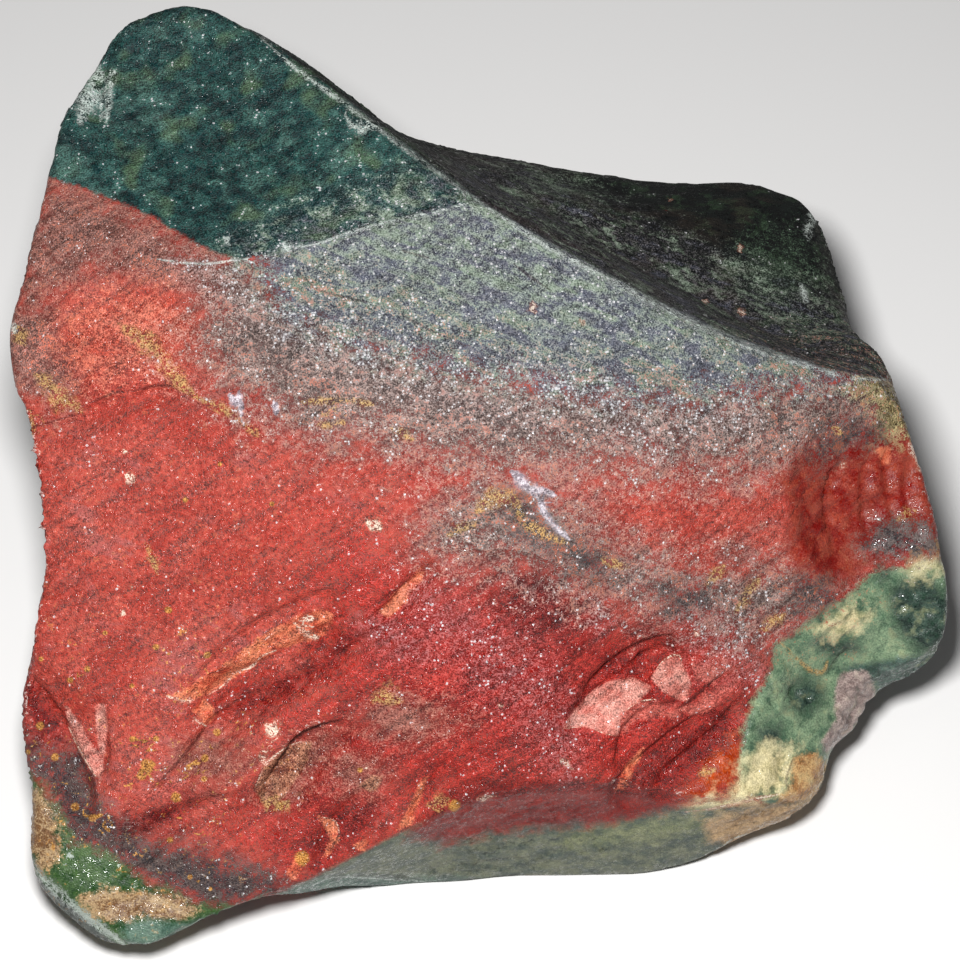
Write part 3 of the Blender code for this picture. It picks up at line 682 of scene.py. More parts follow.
def fold_depth(places: np.ndarray, folds: tuple[Fold, ...]) -> np.ndarray:
    """Adds up how far broken steps sink the ground.

    Args:
        places: across and down in millimetres, one place a row.
        folds: the steps.

    Returns:
        The depth in millimetres at each place.
    """

    def eased(share: np.ndarray) -> np.ndarray:
        """0 below 0, 1 above 1, and smooth between."""
        share = np.clip(share, 0.0, 1.0)
        return share * share * (3.0 - 2.0 * share)

    depth = np.zeros(len(places))
    for fold in folds:
        near, way, right, along = beside(places, curved(fold.path, 6), fold.cliff + fold.apron)
        ends = np.clip(np.minimum(along, 1.0 - along) * 5.0, 0.0, 1.0)
        beyond = (along <= 0.0) | (along >= 1.0)
        ends[beyond] = 0.0
        fall = eased(right / fold.cliff) * (1.0 - eased((right - fold.cliff) / fold.apron))
        depth[near] += fold.drop * np.sqrt(ends) * fall
    return depth


class Value:
    """A node's output that adds, multiplies and compares like a number."""

    def __init__(self, desk: "Desk", socket: bpy.types.NodeSocket) -> None:
        """Keeps the socket and the desk that makes further nodes."""
        self.desk = desk
        self.socket = socket

    def math(self, operation: str, *others: Any) -> "Value":
        """Feeds this value and others into one Math node.

        Args:
            operation: the node's operation.
            others: further values or numbers, in order.

        Returns:
            The node's output.
        """
        node = self.desk.node("ShaderNodeMath", {"operation": operation}, dict(enumerate((self, *others))))
        return Value(self.desk, node.outputs[0])

    def __add__(self, other: Any) -> "Value":
        """Sum."""
        return self.math("ADD", other)

    __radd__ = __add__

    def __sub__(self, other: Any) -> "Value":
        """Difference."""
        return self.math("SUBTRACT", other)

    def __rsub__(self, other: float) -> "Value":
        """A number less this value."""
        return self.math("MULTIPLY_ADD", -1.0, other)

    def __mul__(self, other: Any) -> "Value":
        """Product."""
        return self.math("MULTIPLY", other)

    __rmul__ = __mul__

    def sum_within(self, other: Any) -> "Value":
        """Sum, kept between 0 and 1."""
        node = self.desk.node("ShaderNodeMath", {"operation": "ADD", "use_clamp": True}, {0: self, 1: other})
        return Value(self.desk, node.outputs[0])

    def power(self, exponent: float) -> "Value":
        """The value raised to a power."""
        return self.math("POWER", exponent)

    def least(self, other: Any) -> "Value":
        """The smaller of two."""
        return self.math("MINIMUM", other)

    def most(self, other: Any) -> "Value":
        """The larger of two."""
        return self.math("MAXIMUM", other)

    def rise(self, low: float, high: float) -> "Value":
        """Eases from 0 to 1 between two values.

        Args:
            low: where it leaves 0, or reaches it if low is the larger.
            high: where it reaches 1.

        Returns:
            The eased share.
        """
        if low > high:
            return 1.0 - self.rise(high, low)
        node = self.desk.node(
            "ShaderNodeMapRange", {"interpolation_type": "SMOOTHSTEP"}, {0: self, 1: low, 2: high}
        )
        return Value(self.desk, node.outputs[0])


class Desk:
    """Lays out nodes in one tree."""

    def __init__(self, tree: bpy.types.NodeTree) -> None:
        """Keeps the tree."""
        self.tree = tree

    def node(self, kind: str, settings: Settings = None, values: Settings = None) -> Any:
        """Adds a node.

        Args:
            kind: the node's type.
            settings: the node's own choices.
            values: a number, colour or Value for each input, by name or place.

        Returns:
            The node.
        """
        node = self.tree.nodes.new(kind)
        for name, choice in (settings or {}).items():
            setattr(node, name, choice)
        for key, value in (values or {}).items():
            if isinstance(value, Value):
                self.tree.links.new(value.socket, node.inputs[key])
            else:
                node.inputs[key].default_value = value
        return node

    def out(self, kind: str, settings: Settings, values: Settings, output: Any = 0) -> Value:
        """Adds a node and gives one of its outputs."""
        return Value(self, self.node(kind, settings, values).outputs[output])

    def noise(
        self, place: Value, scale: float, detail: float = 3.0, roughness: float = 0.55, warp: float = 0.0
    ) -> Value:
        """Cloudy noise, mostly between 0.25 and 0.75.

        Args:
            place: where it is read, in millimetres.
            scale: lumps for each millimetre.
            detail: how many finer layers lie on it.
            roughness: how strong those are.
            warp: how much the lumps are pulled about.

        Returns:
            The noise.
        """
        return self.out("ShaderNodeTexNoise", None, {
            "Vector": place, "Scale": scale, "Detail": detail, "Roughness": roughness, "Distortion": warp,
        })

    def along(self, place: Value, run: Streak, length: float, width: float) -> Value:
        """Stretches places so that noise runs in streaks.

        Args:
            place: where it is read, in millimetres.
            run: the way of the streaks on the broad face.
            length: streak length in millimetres.
            width: streak width in millimetres.

        Returns:
            The stretched places.
        """
        view = View()
        turn = math.radians(run.value)
        right, up, near = np.array([1.0, 0.0, 0.0]), view.up(), view.to_eye()
        rows = (
            (right * math.cos(turn) + up * math.sin(turn)) / length,
            (up * math.cos(turn) - right * math.sin(turn)) / width,
            near / width,
        )
        dot = {"operation": "DOT_PRODUCT"}
        parts = [self.out("ShaderNodeVectorMath", dot, {0: place, 1: tuple(row)}, 1) for row in rows]
        return self.out("ShaderNodeCombineXYZ", None, dict(enumerate(parts)))

    def blend(self, share: Any, low: Any, high: Any) -> Value:
        """Mixes two colours.

        Args:
            share: how much of the second shows.
            low: the first colour.
            high: the second colour.

        Returns:
            The mixed colour.
        """
        return self.out("ShaderNodeMix", {"data_type": "RGBA"}, {0: share, 6: low, 7: high}, 2)


@dataclass(frozen=True)
class Tint:
    """A second colour inside a zone, where a mix of noises passes from one value to another."""

    parts: dict[str, float]
    start: float
    full: float
    zone: str
    strength: float
    tone: Tone


@dataclass(frozen=True)
class Strip:
    """How the edge of a line mark frays, and where it ends and is full, all in half widths."""

    wander: float
    powder: float
    end: float
    full: float


BODY = "body"
WAXY_ZONES = ("rim_green", "cream", "wall", "corner", "scar_red", "glow")
STRIPS = {
    "specks": Strip(0.5, 0.3, 1.2, 0.7),
    "ochre": Strip(2.8, 1.2, 1.9, 0.4),
    "quartz": Strip(2.2, 0.8, 1.6, 0.5),
    "chips": Strip(2.8, 1.4, 1.7, 0.4),
    "cracks": Strip(1.6, 0.5, 1.7, 0.5),
    "bruise": Strip(3.4, 2.4, 2.2, 0.5),
}
TINTS = tuple(Tint(*choices, tone(*steps)) for *choices, steps in (
    ({"hackle": 0.45, "bedding": 0.2, "dust": 0.35}, 0.51, 0.64, BODY, 0.65, (148, 30, 22)),
    ({"hackle": 0.45, "bedding": 0.2, "dust": 0.35}, 0.47, 0.38, BODY, 0.4, (226, 128, 116)),
    ({"fine": 0.5, "lumps": 0.5}, 0.56, 0.66, BODY, 0.35, (196, 110, 72)),
    ({"cloud": 0.4, "bedding": 0.6}, 0.52, 0.62, BODY, 0.35, (178, 116, 114)),
    ({"olive": 1.0, "grainy": 0.04}, 0.53, 0.72, "crown", 0.7, (88, 112, 82)),
    ({"cloud": 0.6, "lumps": 0.4}, 0.50, 0.62, "crown", 0.6, (84, 120, 110)),
    ({"olive": 0.5, "lumps": 0.5}, 0.48, 0.36, "crown", 0.45, (14, 38, 38)),
    ({"bedding": 0.6, "lumps": 0.4}, 0.50, 0.60, "sage", 0.75, (140, 158, 136)),
    ({"bedding": 0.6, "lumps": 0.4}, 0.48, 0.38, "sage", 0.7, (80, 84, 98)),
    ({"lumps": 1.0, "olive": 0.6}, 0.82, 0.98, "back", 0.6, (44, 64, 42)),
    ({"cloud": 1.0, "bedding": 0.5}, 0.78, 0.88, "back", 0.4, (52, 40, 32)),
    ({"lumps": 1.0}, 0.54, 0.70, "rim_green", 0.3, (196, 194, 142)),
    ({"lumps": 1.0}, 0.44, 0.32, "rim_green", 0.5, (56, 88, 68)),
    ({"fine": 0.4, "bedding": 0.4, "dust": 0.2}, 0.52, 0.60, "rusty", 0.65, (176, 84, 50)),
    ({"lumps": 0.6, "fine": 0.4}, 0.47, 0.40, "band", 0.65, (84, 72, 70)),
))


class Ground:
    """The noises and marks that every colour of the stone is made from."""

    def __init__(self, desk: Desk) -> None:
        """Lays them out; each noise is mostly between 0.25 and 0.75."""
        self.desk = desk
        metres = desk.out("ShaderNodeTexCoord", None, {}, "Object")
        place = desk.out("ShaderNodeVectorMath", {"operation": "SCALE"}, {0: metres, "Scale": 1.0 / MM})
        grit = desk.node("ShaderNodeTexVoronoi", {"feature": "F1"}, {"Vector": place, "Scale": 3.6})
        self.chance = Value(desk, grit.outputs["Color"])
        self.gap = Value(desk, grit.outputs["Distance"])
        self.luck = self.chance + 0.0
        self.noises = {
            "cloud": desk.noise(place, 0.13, 2.0, 0.6),
            "lumps": desk.noise(place, 0.55, 3.0, 0.62),
            "fine": desk.noise(place, 1.9, 2.0, 0.66),
            "dust": desk.noise(place, 6.5, 0.0, 0.7),
            "hackle": desk.noise(desk.along(place, Streak.HACKLE, 9.0, 0.9), 1.0, 1.0, 0.62),
            "bedding": desk.noise(desk.along(place, Streak.BEDDING, 5.0, 1.5), 1.0, 3.0, 0.62, 0.6),
            "olive": desk.noise(place, 0.30, 1.0, 0.5),
        }
        self.grainy = self.around(dust=1.4) + (self.luck - 0.5) * 0.7
        self.noises["grainy"] = self.grainy
        self.edge = self.around(lumps=1.4, fine=1.1, bedding=0.8)
        self.marks = {name: desk.out("ShaderNodeAttribute", {"attribute_name": name}, {}, "Fac")
                      for name in ("glitter", "hidden", "edge", "grain")}
        for name in LINE_MARKS:
            way = desk.out("ShaderNodeAttribute", {"attribute_name": name}, {}, "Vector")
            self.marks[name] = desk.out("ShaderNodeVectorMath", {"operation": "LENGTH"}, {0: way}, "Value")
        self.shares: dict[str, Value] = {}
        self.unseen = (self.marks["hidden"] + self.edge * 0.5).rise(0.35, 0.65)
        self.shown = 1.0 - self.unseen

    def mix(self, **parts: float) -> Value:
        """Sum of noises, each times its share."""
        terms = [
            self.noises[name] if share == 1.0 else self.noises[name] * share for name, share in parts.items()
        ]
        return sum(terms[1:], terms[0])

    def around(self, **parts: float) -> Value:
        """Sum of how far noises lie above their middle, each times its share."""
        terms = [(self.noises[name] - 0.5) * share for name, share in parts.items()]
        return sum(terms[1:], terms[0])

    def line(self, name: str) -> Value:
        """How much a line mark shows, none of it on the hidden sides."""
        strip = STRIPS[name]
        frayed = self.marks[name] + self.edge * strip.wander + self.grainy * strip.powder
        return frayed.rise(strip.end, strip.full) * self.shown

    def tinted(self, color: Value, zones: set[str]) -> Value:
        """Lays the tints of some zones over a colour."""
        for tint in TINTS:
            if tint.zone in zones:
                share = self.mix(**tint.parts).rise(tint.start, tint.full)
                if tint.zone != BODY:
                    share = share * self.shares[tint.zone]
                color = self.desk.blend(share * tint.strength, color, tint.tone)
        return color

    def zoned(self, color: Value) -> Value:
        """Lays every zone over the body's colour, in turn, and keeps its share.

        Args:
            color: the body's colour.

        Returns:
            The colour with its zones and their tints.
        """
        mottle = self.mix(bedding=0.5, fine=0.3, dust=0.2).rise(0.42, 0.58)
        clouded = self.mix(lumps=0.55, bedding=0.35, dust=0.1).rise(0.38, 0.62)
        wander = {kind: self.edge * kind.value[0] + self.grainy * kind.value[1] for kind in Edge}
        wander[Edge.MELTED] = self.around(lumps=2.0, fine=0.3) * Edge.MELTED.value[0]
        for patch in PATCHES:
            depth = self.desk.out("ShaderNodeAttribute", {"attribute_name": "zone_" + patch.name}, {}, "Fac")
            share = depth.sum_within(wander[patch.edge])
            inside = self.desk.blend(clouded if patch.even else mottle, *patch.tones)
            color = self.desk.blend(share, color, inside)
            self.shares[patch.name] = share
        shares = self.shares
        shares["rusty"] = shares["band"].most(shares["mauve"] * 0.8) * (1.0 - shares["crown"])
        shares["waxy"] = reduce(Value.most, [shares[name] for name in WAXY_ZONES])
        return self.tinted(color, {tint.zone for tint in TINTS} - {BODY})

    def speck_share(self) -> Value:
        """How much the yellow specks gather here: most in the lower left of the broad face."""
        picture = self.desk.out("ShaderNodeAttribute", {"attribute_name": "picture"}, {}, "Vector")
        values = {0: picture, 1: (*SPECK_CENTRE, 0.0)}
        gap = self.desk.out("ShaderNodeVectorMath", {"operation": "DISTANCE"}, values, 1)
        return gap.rise(SPECK_REACH, SPECK_CORE)


@dataclass(frozen=True)
class StoneFinish:
    """Waxy, frosted chalcedony in zones of red, green and grey, with some painted shade, sheen and glints."""

    red: tuple[Tone, Tone] = (tone(186, 62, 48), tone(208, 92, 76))
    hidden: tuple[Tone, Tone, Tone, Tone] = (
        tone(34, 52, 46), tone(84, 104, 82), tone(122, 44, 34), tone(150, 122, 84))
    yellow: tuple[Tone, Tone] = (tone(186, 120, 44), tone(216, 158, 76))
    ochre: tuple[Tone, Tone] = (tone(150, 100, 48), tone(206, 168, 104))
    quartz: tuple[Tone, Tone] = (tone(168, 158, 168), tone(236, 228, 236))
    chip: tuple[Tone, Tone] = (tone(224, 150, 124), tone(255, 236, 214))
    bruise: Tone = tone(232, 242, 234)
    crack: Tone = tone(50, 14, 12)
    # Pale grey of the painted sheen laid over the glitter band and the sage zone.
    painted_sheen: Tone = tone(196, 186, 190)
    # Near white of the painted glints on quartz flecks and grains.
    grain: Tone = tone(255, 252, 255)
    darkest_shade: float = 0.25
    roughness: float = 0.66
    glint_roughness: float = 0.22
    least_roughness: float = 0.12
    facet_tilt: float = 0.55
    bump_strength: float = 0.75
    bump_height: float = 0.00022
    refraction: float = 1.54
    specular: float = 0.32

    def make(self) -> bpy.types.Material:
        """Builds the material.

        Returns:
            The material.
        """
        material = bpy.data.materials.new("bloodstone_face")
        material.use_nodes = True
        shader = material.node_tree.nodes["Principled BSDF"]
        ground = Ground(Desk(material.node_tree))
        color = ground.desk.blend(ground.mix(cloud=0.5, fine=0.3, hackle=0.2).rise(0.40, 0.60), *self.red)
        color = ground.zoned(ground.tinted(color, {BODY}))
        color = ground.desk.blend(ground.unseen, color, self.inner(ground))
        worn = ground.line("bruise") * ground.mix(lumps=1.0, grainy=0.2).rise(0.36, 0.50)
        color = self.marked(ground, color, worn)
        frost = ground.marks["bruise"].rise(9.0, 1.0) * ground.shown
        shares = ground.shares
        zones = (shares["crown"] * 0.6 + shares["sage"] * 3.0 + shares["band"] * 1.8) * 0.25
        shine = ground.marks["glitter"] + zones + frost * 0.6
        values = {
            "Base Color": self.dusted(ground, color, shine),
            "Roughness": self.gloss(ground, worn),
            "Normal": self.facets(ground, shine),
        }
        for name, value in values.items():
            material.node_tree.links.new(value.socket, shader.inputs[name])
        shader.inputs["IOR"].default_value = self.refraction
        shader.inputs["Specular IOR Level"].default_value = self.specular
        return material

    def inner(self, ground: Ground) -> Value:
        """The colour of the hidden sides: dark green with red and a little tan."""
        blend = ground.desk.blend
        inner = blend(ground.mix(lumps=1.0).rise(0.42, 0.62), self.hidden[0], self.hidden[1])
        inner = blend(ground.mix(cloud=0.65, lumps=0.35).rise(0.53, 0.60), inner, self.hidden[2])
        return blend(ground.mix(bedding=1.0).rise(0.60, 0.70) * 0.6, inner, self.hidden[3])

    def marked(self, ground: Ground, color: Value, worn: Value) -> Value:
        """Lays specks, veins, chips, cracks and bruised edges over a colour.

        Args:
            ground: the noises and marks.
            color: the colour of the zones.
            worn: how bruised the edges are.

        Returns:
            The colour with its marks.
        """
        desk, grainy = ground.desk, ground.grainy
        blend = desk.blend
        yellow = ground.line("specks")
        gathered = ground.mix(cloud=1.0).rise(0.44, 0.56) * ground.speck_share() * ground.shown
        yellow = yellow.most(ground.mix(fine=0.6, lumps=0.4).rise(0.585, 0.64) * gathered)
        color = blend(yellow * 0.85, color, blend(ground.mix(dust=1.0).rise(0.4, 0.6), *self.yellow))
        broken = ground.mix(fine=0.7, dust=0.3).rise(0.40, 0.54)
        vein = ground.line("ochre") * broken
        color = blend(vein * 0.8, color, blend(ground.mix(fine=0.5, dust=0.5).rise(0.42, 0.58), *self.ochre))
        milk = ground.line("quartz")
        color = blend(milk * 0.9, color, blend(ground.mix(fine=1.0).rise(0.42, 0.6), *self.quartz))
        chip = ground.line("chips") * (0.3 + broken * 0.7)
        color = blend(chip * 0.9, color, blend((chip + grainy * 0.6).rise(0.4, 1.0), *self.chip))
        color = blend(ground.line("cracks") * 0.5, color, self.crack)
        sharp = (ground.marks["edge"] + ground.around(fine=2.6) + grainy * 0.8).rise(0.8, 1.3) * 0.6
        return blend(worn.most(sharp) * 0.85, color, blend(0.2, self.bruise, color))

    def dusted(self, ground: Ground, color: Value, shine: Value) -> Value:
        """Shades a colour with the stone's fine grain, and lays a painted sheen and painted quartz glints
        over it.

        Args:
            ground: the noises and marks.
            color: the marked colour.
            shine: how thick the quartz lies.

        Returns:
            The finished colour.
        """
        desk, shares, waxy = ground.desk, ground.shares, ground.shares["waxy"]
        powder = ground.around(dust=1.8, fine=1.1, hackle=1.4) + (ground.luck - 0.5) * 0.5
        dark = shares["crown"] + shares["back"] * 0.8 + shares["sage"] * 0.4
        shade = 1.0 + powder * (1.0 - waxy * 0.6) + dark * (ground.grainy * 0.5 + ground.around(lumps=0.5))
        values = {0: color, "Scale": shade.most(self.darkest_shade)}
        color = desk.out("ShaderNodeVectorMath", {"operation": "SCALE"}, values)
        # Painted glints: quartz flecks and the set-in grains are painted near white, as their glints show
        # under the key light.
        pick = ground.luck + ground.around(lumps=1.0, fine=0.6) + shine * 0.165
        pick = pick - shares["back"] * 0.1 - waxy * 0.25 - 0.025
        painted_glint_flecks = pick.rise(0.93, 0.97) * (ground.gap + ground.around(dust=0.6)).rise(0.50, 0.34)
        painted_glint_flecks = painted_glint_flecks.most(ground.marks["grain"].rise(0.4, 0.6))
        # Painted sheen: a pale grey veil laid over the glitter band and the sage zone, standing for the key
        # light's sheen there.
        painted_sheen = ground.marks["glitter"] * 0.8 + shares["sage"] * 0.6
        painted_sheen = painted_sheen * ground.mix(fine=0.5, dust=0.5).rise(0.46, 0.62)
        color = desk.blend(painted_sheen * 0.36, color, self.painted_sheen)
        return desk.blend(painted_glint_flecks * 0.8, color, self.grain)

    def gloss(self, ground: Ground, worn: Value) -> Value:
        """How rough the surface is: frosted, with glints, waxy on the rim."""
        glints = ground.luck.rise(0.6, 0.8) * (self.roughness - self.glint_roughness)
        rough = self.roughness + ground.around(dust=0.3, fine=0.2) + worn * 0.1 - glints
        return (rough + ground.shares["back"] * 0.3 - ground.shares["waxy"] * 0.16).most(self.least_roughness)

    def facets(self, ground: Ground, shine: Value) -> Value:
        """Which way the surface faces: fine relief, and a small facet of its own for each grain.

        Args:
            ground: the noises and marks.
            shine: how thick the quartz lies.

        Returns:
            The normal.
        """
        desk = ground.desk
        bump = desk.out("ShaderNodeBump", None, {
            "Strength": (1.0 - ground.shares["waxy"] * 0.6) * self.bump_strength,
            "Distance": self.bump_height,
            "Height": ground.mix(dust=0.8, hackle=1.3),
        }, "Normal")
        values = {0: ground.chance, 1: (0.5, 0.5, 0.5)}
        centred = desk.out("ShaderNodeVectorMath", {"operation": "SUBTRACT"}, values)
        tilt = (shine * 0.7 + 0.3 - ground.shares["back"] * 0.2) * self.facet_tilt
        tilted = desk.out("ShaderNodeVectorMath", {"operation": "SCALE"}, {0: centred, "Scale": tilt})
        facing = desk.out("ShaderNodeVectorMath", {"operation": "ADD"}, {0: bump, 1: tilted})
        return desk.out("ShaderNodeVectorMath", {"operation": "NORMALIZE"}, {0: facing})


@dataclass(frozen=True)
class ReliefSizes:
    """Heights and lengths of the fine relief, in millimetres."""

    hackle_height: float = 0.2
    hackle_width: float = 1.5
    hackle_length: float = 6.0
    terraces: float = 9.0
    swing: float = 2.0
    step_height: float = 0.26
    grain_height: float = 0.12
    grain_width: float = 0.9
    nibble_depth: float = 0.26


@dataclass(frozen=True)
class GrainSizes:
    """How thick the quartz grains lie, and how large they are."""

    per_square_metre: float = 240000.0
    gathering: float = 1.6
    radius: float = 0.00011
    full_turn: tuple[float, float, float] = (6.28, 6.28, 6.28)
    least_stretch: tuple[float, float, float] = (0.5, 0.5, 0.3)
    most_stretch: tuple[float, float, float] = (2.2, 1.5, 1.0)
    seed: int = 7


@dataclass(frozen=True)
class Spans:
    """Where each effect starts and the span over which it grows, as ramp() reads them."""

    folds: tuple[float, float] = (0.1, 0.4)
    worn: tuple[float, float] = (0.35, 0.6)
    shown: tuple[float, float] = (0.0, 0.35)
    turned: tuple[float, float] = (-0.12, 0.3)
    below: tuple[float, float] = (6.0, 10.0)
    foot: tuple[float, float] = (0.0006, 0.0015)


class StoneTree:
    """A Geometry Nodes tree with named inputs that ends in Realize Instances and Set Material."""

    def __init__(self, name: str, inputs: dict[str, float]) -> None:
        """Makes the tree with its mesh input and its named sizes.

        Args:
            name: the tree's name.
            inputs: each named input and its value.
        """
        self.inputs = inputs
        self.tree = bpy.data.node_groups.new(name, "GeometryNodeTree")
        face = self.tree.interface
        face.new_socket("Geometry", in_out="INPUT", socket_type="NodeSocketGeometry")
        self.keys = {}
        for label in inputs:
            kind = "NodeSocketInt" if label == "Seed" else "NodeSocketFloat"
            self.keys[label] = face.new_socket(label, in_out="INPUT", socket_type=kind).identifier
        face.new_socket("Geometry", in_out="OUTPUT", socket_type="NodeSocketGeometry")
        self.desk = Desk(self.tree)
        self.source = self.desk.node("NodeGroupInput")

    def given(self, label: str) -> Value:
        """The value of a named input."""
        return Value(self.desk, self.source.outputs[label])

    def close(self, geometry: Value, material: bpy.types.Material) -> None:
        """Ends the tree."""
        real = self.desk.out("GeometryNodeRealizeInstances", None, {"Geometry": geometry})
        dressed = self.desk.out("GeometryNodeSetMaterial", None, {"Geometry": real, "Material": material})
        self.desk.node("NodeGroupOutput", None, {0: dressed})

    def put_on(self, piece: bpy.types.Object) -> None:
        """Gives a piece the tree as a modifier, with its inputs set."""
        modifier = piece.modifiers.new(self.tree.name, "NODES")
        modifier.node_group = self.tree
        for label, value in self.inputs.items():
            modifier[self.keys[label]] = value


def bake_in(piece: bpy.types.Object, name: str) -> None:
    """Gives a piece the plain mesh that its modifiers make, under a new name, and removes them."""
    graph = bpy.context.evaluated_depsgraph_get()
    data = bpy.data.meshes.new_from_object(piece.evaluated_get(graph))
    data.name = name
    piece.modifiers.clear()
    piece.data = data


def array_of(items: Any, key: str, width: int) -> np.ndarray:
    """Reads one property of every item of a mesh as an array."""
    values = np.empty(len(items) * width)
    items.foreach_get(key, values)
    return values.reshape(-1, width) if width > 1 else values


@dataclass
class Stone:
    """The one piece: a broken stone with crisp edges, fine relief and coloured zones."""

    crease_angle: float = math.radians(27.0)
    spacing: float = 0.0004
    smooth_rounds: int = 1
    eased_rounds: int = 8
    eased_share: float = 0.5
    wear_rounds: int = 2
    keen_rounds: int = 9
    keen_gain: float = 2.0
    rim_room: float = 0.0008
    least_relief: float = 0.15
    front_facing: float = 0.6
    triangles: int = 174000
    view: View = View()
    finish: StoneFinish = StoneFinish()
    relief: ReliefSizes = ReliefSizes()
    grains: GrainSizes = GrainSizes()
    spans: Spans = Spans()

    def body(self) -> bpy.types.Object:
        """Copies the solid, rounds what lies between its sharp edges and meshes it finely.

        Returns:
            The fine piece, without relief.
        """
        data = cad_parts[NODE].data.copy()
        piece = bpy.data.objects.new("stone_work", data)
        bpy.context.scene.collection.objects.link(piece)
        weld = piece.modifiers.new("weld", "WELD")
        weld.merge_threshold = 1e-6
        bake_in(piece, "merged")
        piece.data.materials.clear()
        self.mark_creases(piece.data)
        rounding = piece.modifiers.new("rounding", "SUBSURF")
        rounding.levels = 1
        rounding.render_levels = 1
        evening = piece.modifiers.new("evening", "REMESH")
        evening.mode = "VOXEL"
        evening.voxel_size = self.spacing
        easing = piece.modifiers.new("easing", "SMOOTH")
        easing.factor = 0.5
        easing.iterations = self.smooth_rounds
        bake_in(piece, "fine")
        return piece

    def mark_creases(self, data: bpy.types.Mesh) -> None:
        """Marks every edge sharper than the crease angle.

        Args:
            data: the merged solid.
        """
        faces: dict[tuple[int, int], list[int]] = {}
        for polygon in data.polygons:
            for key in polygon.edge_keys:
                faces.setdefault(key, []).append(polygon.index)
        normals = array_of(data.polygons, "normal", 3)
        crease = data.attributes.new("crease_edge", "FLOAT", "EDGE")
        for edge in data.edges:
            pair = faces.get(edge.key, [])
            if len(pair) == 2:
                bend = math.acos(max(-1.0, min(1.0, float(normals[pair[0]] @ normals[pair[1]]))))
                crease.data[edge.index].value = 1.0 if bend > self.crease_angle else 0.0

    def fold_ground(self, data: bpy.types.Mesh) -> None:
        """Sinks the ground beside the broken steps of the broad face.

        Args:
            data: the fine mesh, changed in place.
        """
        places, normals = array_of(data.vertices, "co", 3), array_of(data.vertices, "normal", 3)
        flat = self.view.seen(places)[:, :2]
        depth = fold_depth(flat, FOLDS)
        for knob in KNOBS:
            gap = np.hypot(*(flat - (knob.across, knob.down)).T) / knob.radius
            depth -= knob.height * np.exp(-(gap ** 4))
        depth *= ramp(normals @ self.view.to_eye(), *self.spans.folds)
        places -= normals * (depth * MM)[:, None]
        data.vertices.foreach_set("co", places.ravel())
        data.update()

    def add_relief(self, piece: bpy.types.Object, material: bpy.types.Material) -> None:
        """Raises hackles, small steps and grain over the whole surface.

        Args:
            piece: the fine piece, changed in place.
            material: the stone's material.
        """
        sizes = self.relief
        tree = StoneTree("stone_relief", {
            "Hackle height": sizes.hackle_height,
            "Hackle width": sizes.hackle_width,
            "Step height": sizes.step_height,
            "Grain height": sizes.grain_height,
            "Grain width": sizes.grain_width,
            "Nibble depth": sizes.nibble_depth,
        })
        desk = tree.desk
        spot = desk.out("GeometryNodeInputPosition", None, {})
        place = desk.out("ShaderNodeVectorMath", {"operation": "SCALE"}, {0: spot, "Scale": 1.0 / MM})
        outward = desk.out("GeometryNodeInputNormal", None, {})
        strength = desk.out("GeometryNodeInputNamedAttribute", {"data_type": "FLOAT"}, {"Name": "roughen"})
        stretched = desk.along(place, Streak.HACKLE, sizes.hackle_length, 1.0)
        hackle = desk.noise(stretched, 1.0 / sizes.hackle_width, 3.0, 0.6) - 0.5
        terraces = desk.noise(stretched, 0.28, 2.0, 0.5, 0.6) * sizes.terraces
        step = terraces.math("FRACT").rise(0.0, 1.0)
        grain = desk.noise(place, 1.0 / sizes.grain_width, 3.0, 0.62) - 0.5
        hackled = hackle * tree.given("Hackle height") * sizes.swing
        height = hackled + grain * tree.given("Grain height") * sizes.swing
        stepped = desk.noise(place, 0.1, 1.0).rise(0.42, 0.6)
        height = height + (step - 0.5) * tree.given("Step height") * stepped
        keen = desk.out("GeometryNodeInputNamedAttribute", {"data_type": "FLOAT"}, {"Name": "keen"})
        bites = desk.noise(place, 0.42, 2.0, 0.55).rise(0.46, 0.64)
        height = height - keen.least(1.0) * bites * tree.given("Nibble depth")
        raised = {0: outward, "Scale": height * strength * MM}
        push = desk.out("ShaderNodeVectorMath", {"operation": "SCALE"}, raised)
        values = {"Geometry": tree.given("Geometry"), "Offset": push}
        moved = desk.out("GeometryNodeSetPosition", None, values)
        tree.close(moved, material)
        tree.put_on(piece)
        bake_in(piece, "relieved")

    def ease_edges(self, data: bpy.types.Mesh) -> None:
        """Takes off the thin splinters that relief leaves on the sharpest edges.

        Args:
            data: the relieved mesh, changed in place.
        """
        places = array_of(data.vertices, "co", 3)
        share = ramp(self.edge_wear(data, self.wear_rounds), *self.spans.worn)[:, None] * self.eased_share
        pairs = np.empty(len(data.edges) * 2, np.int64)
        data.edges.foreach_get("vertices", pairs)
        first, second = pairs.reshape(-1, 2).T
        count = np.bincount(pairs, minlength=len(places))[:, None]
        for _ in range(self.eased_rounds):
            total = np.zeros_like(places)
            np.add.at(total, first, places[second])
            np.add.at(total, second, places[first])
            places += share * (total / np.maximum(count, 1) - places)
        data.vertices.foreach_set("co", places.ravel())
        data.update()

    def thin(self, piece: bpy.types.Object) -> None:
        """Thins the mesh to about the given number of triangles, most where it is flat."""
        fewer = piece.modifiers.new("fewer", "DECIMATE")
        count = sum(len(polygon.vertices) - 2 for polygon in piece.data.polygons)
        fewer.ratio = min(1.0, self.triangles / count)
        bake_in(piece, "thinned")

    def spread(self, data: bpy.types.Mesh, name: str, values: np.ndarray) -> None:
        """Stores one number or one vector for each corner point."""
        kind, key = ("FLOAT", "value") if values.ndim == 1 else ("FLOAT_VECTOR", "vector")
        data.attributes.new(name, kind, "POINT").data.foreach_set(key, values.astype(np.float32).ravel())

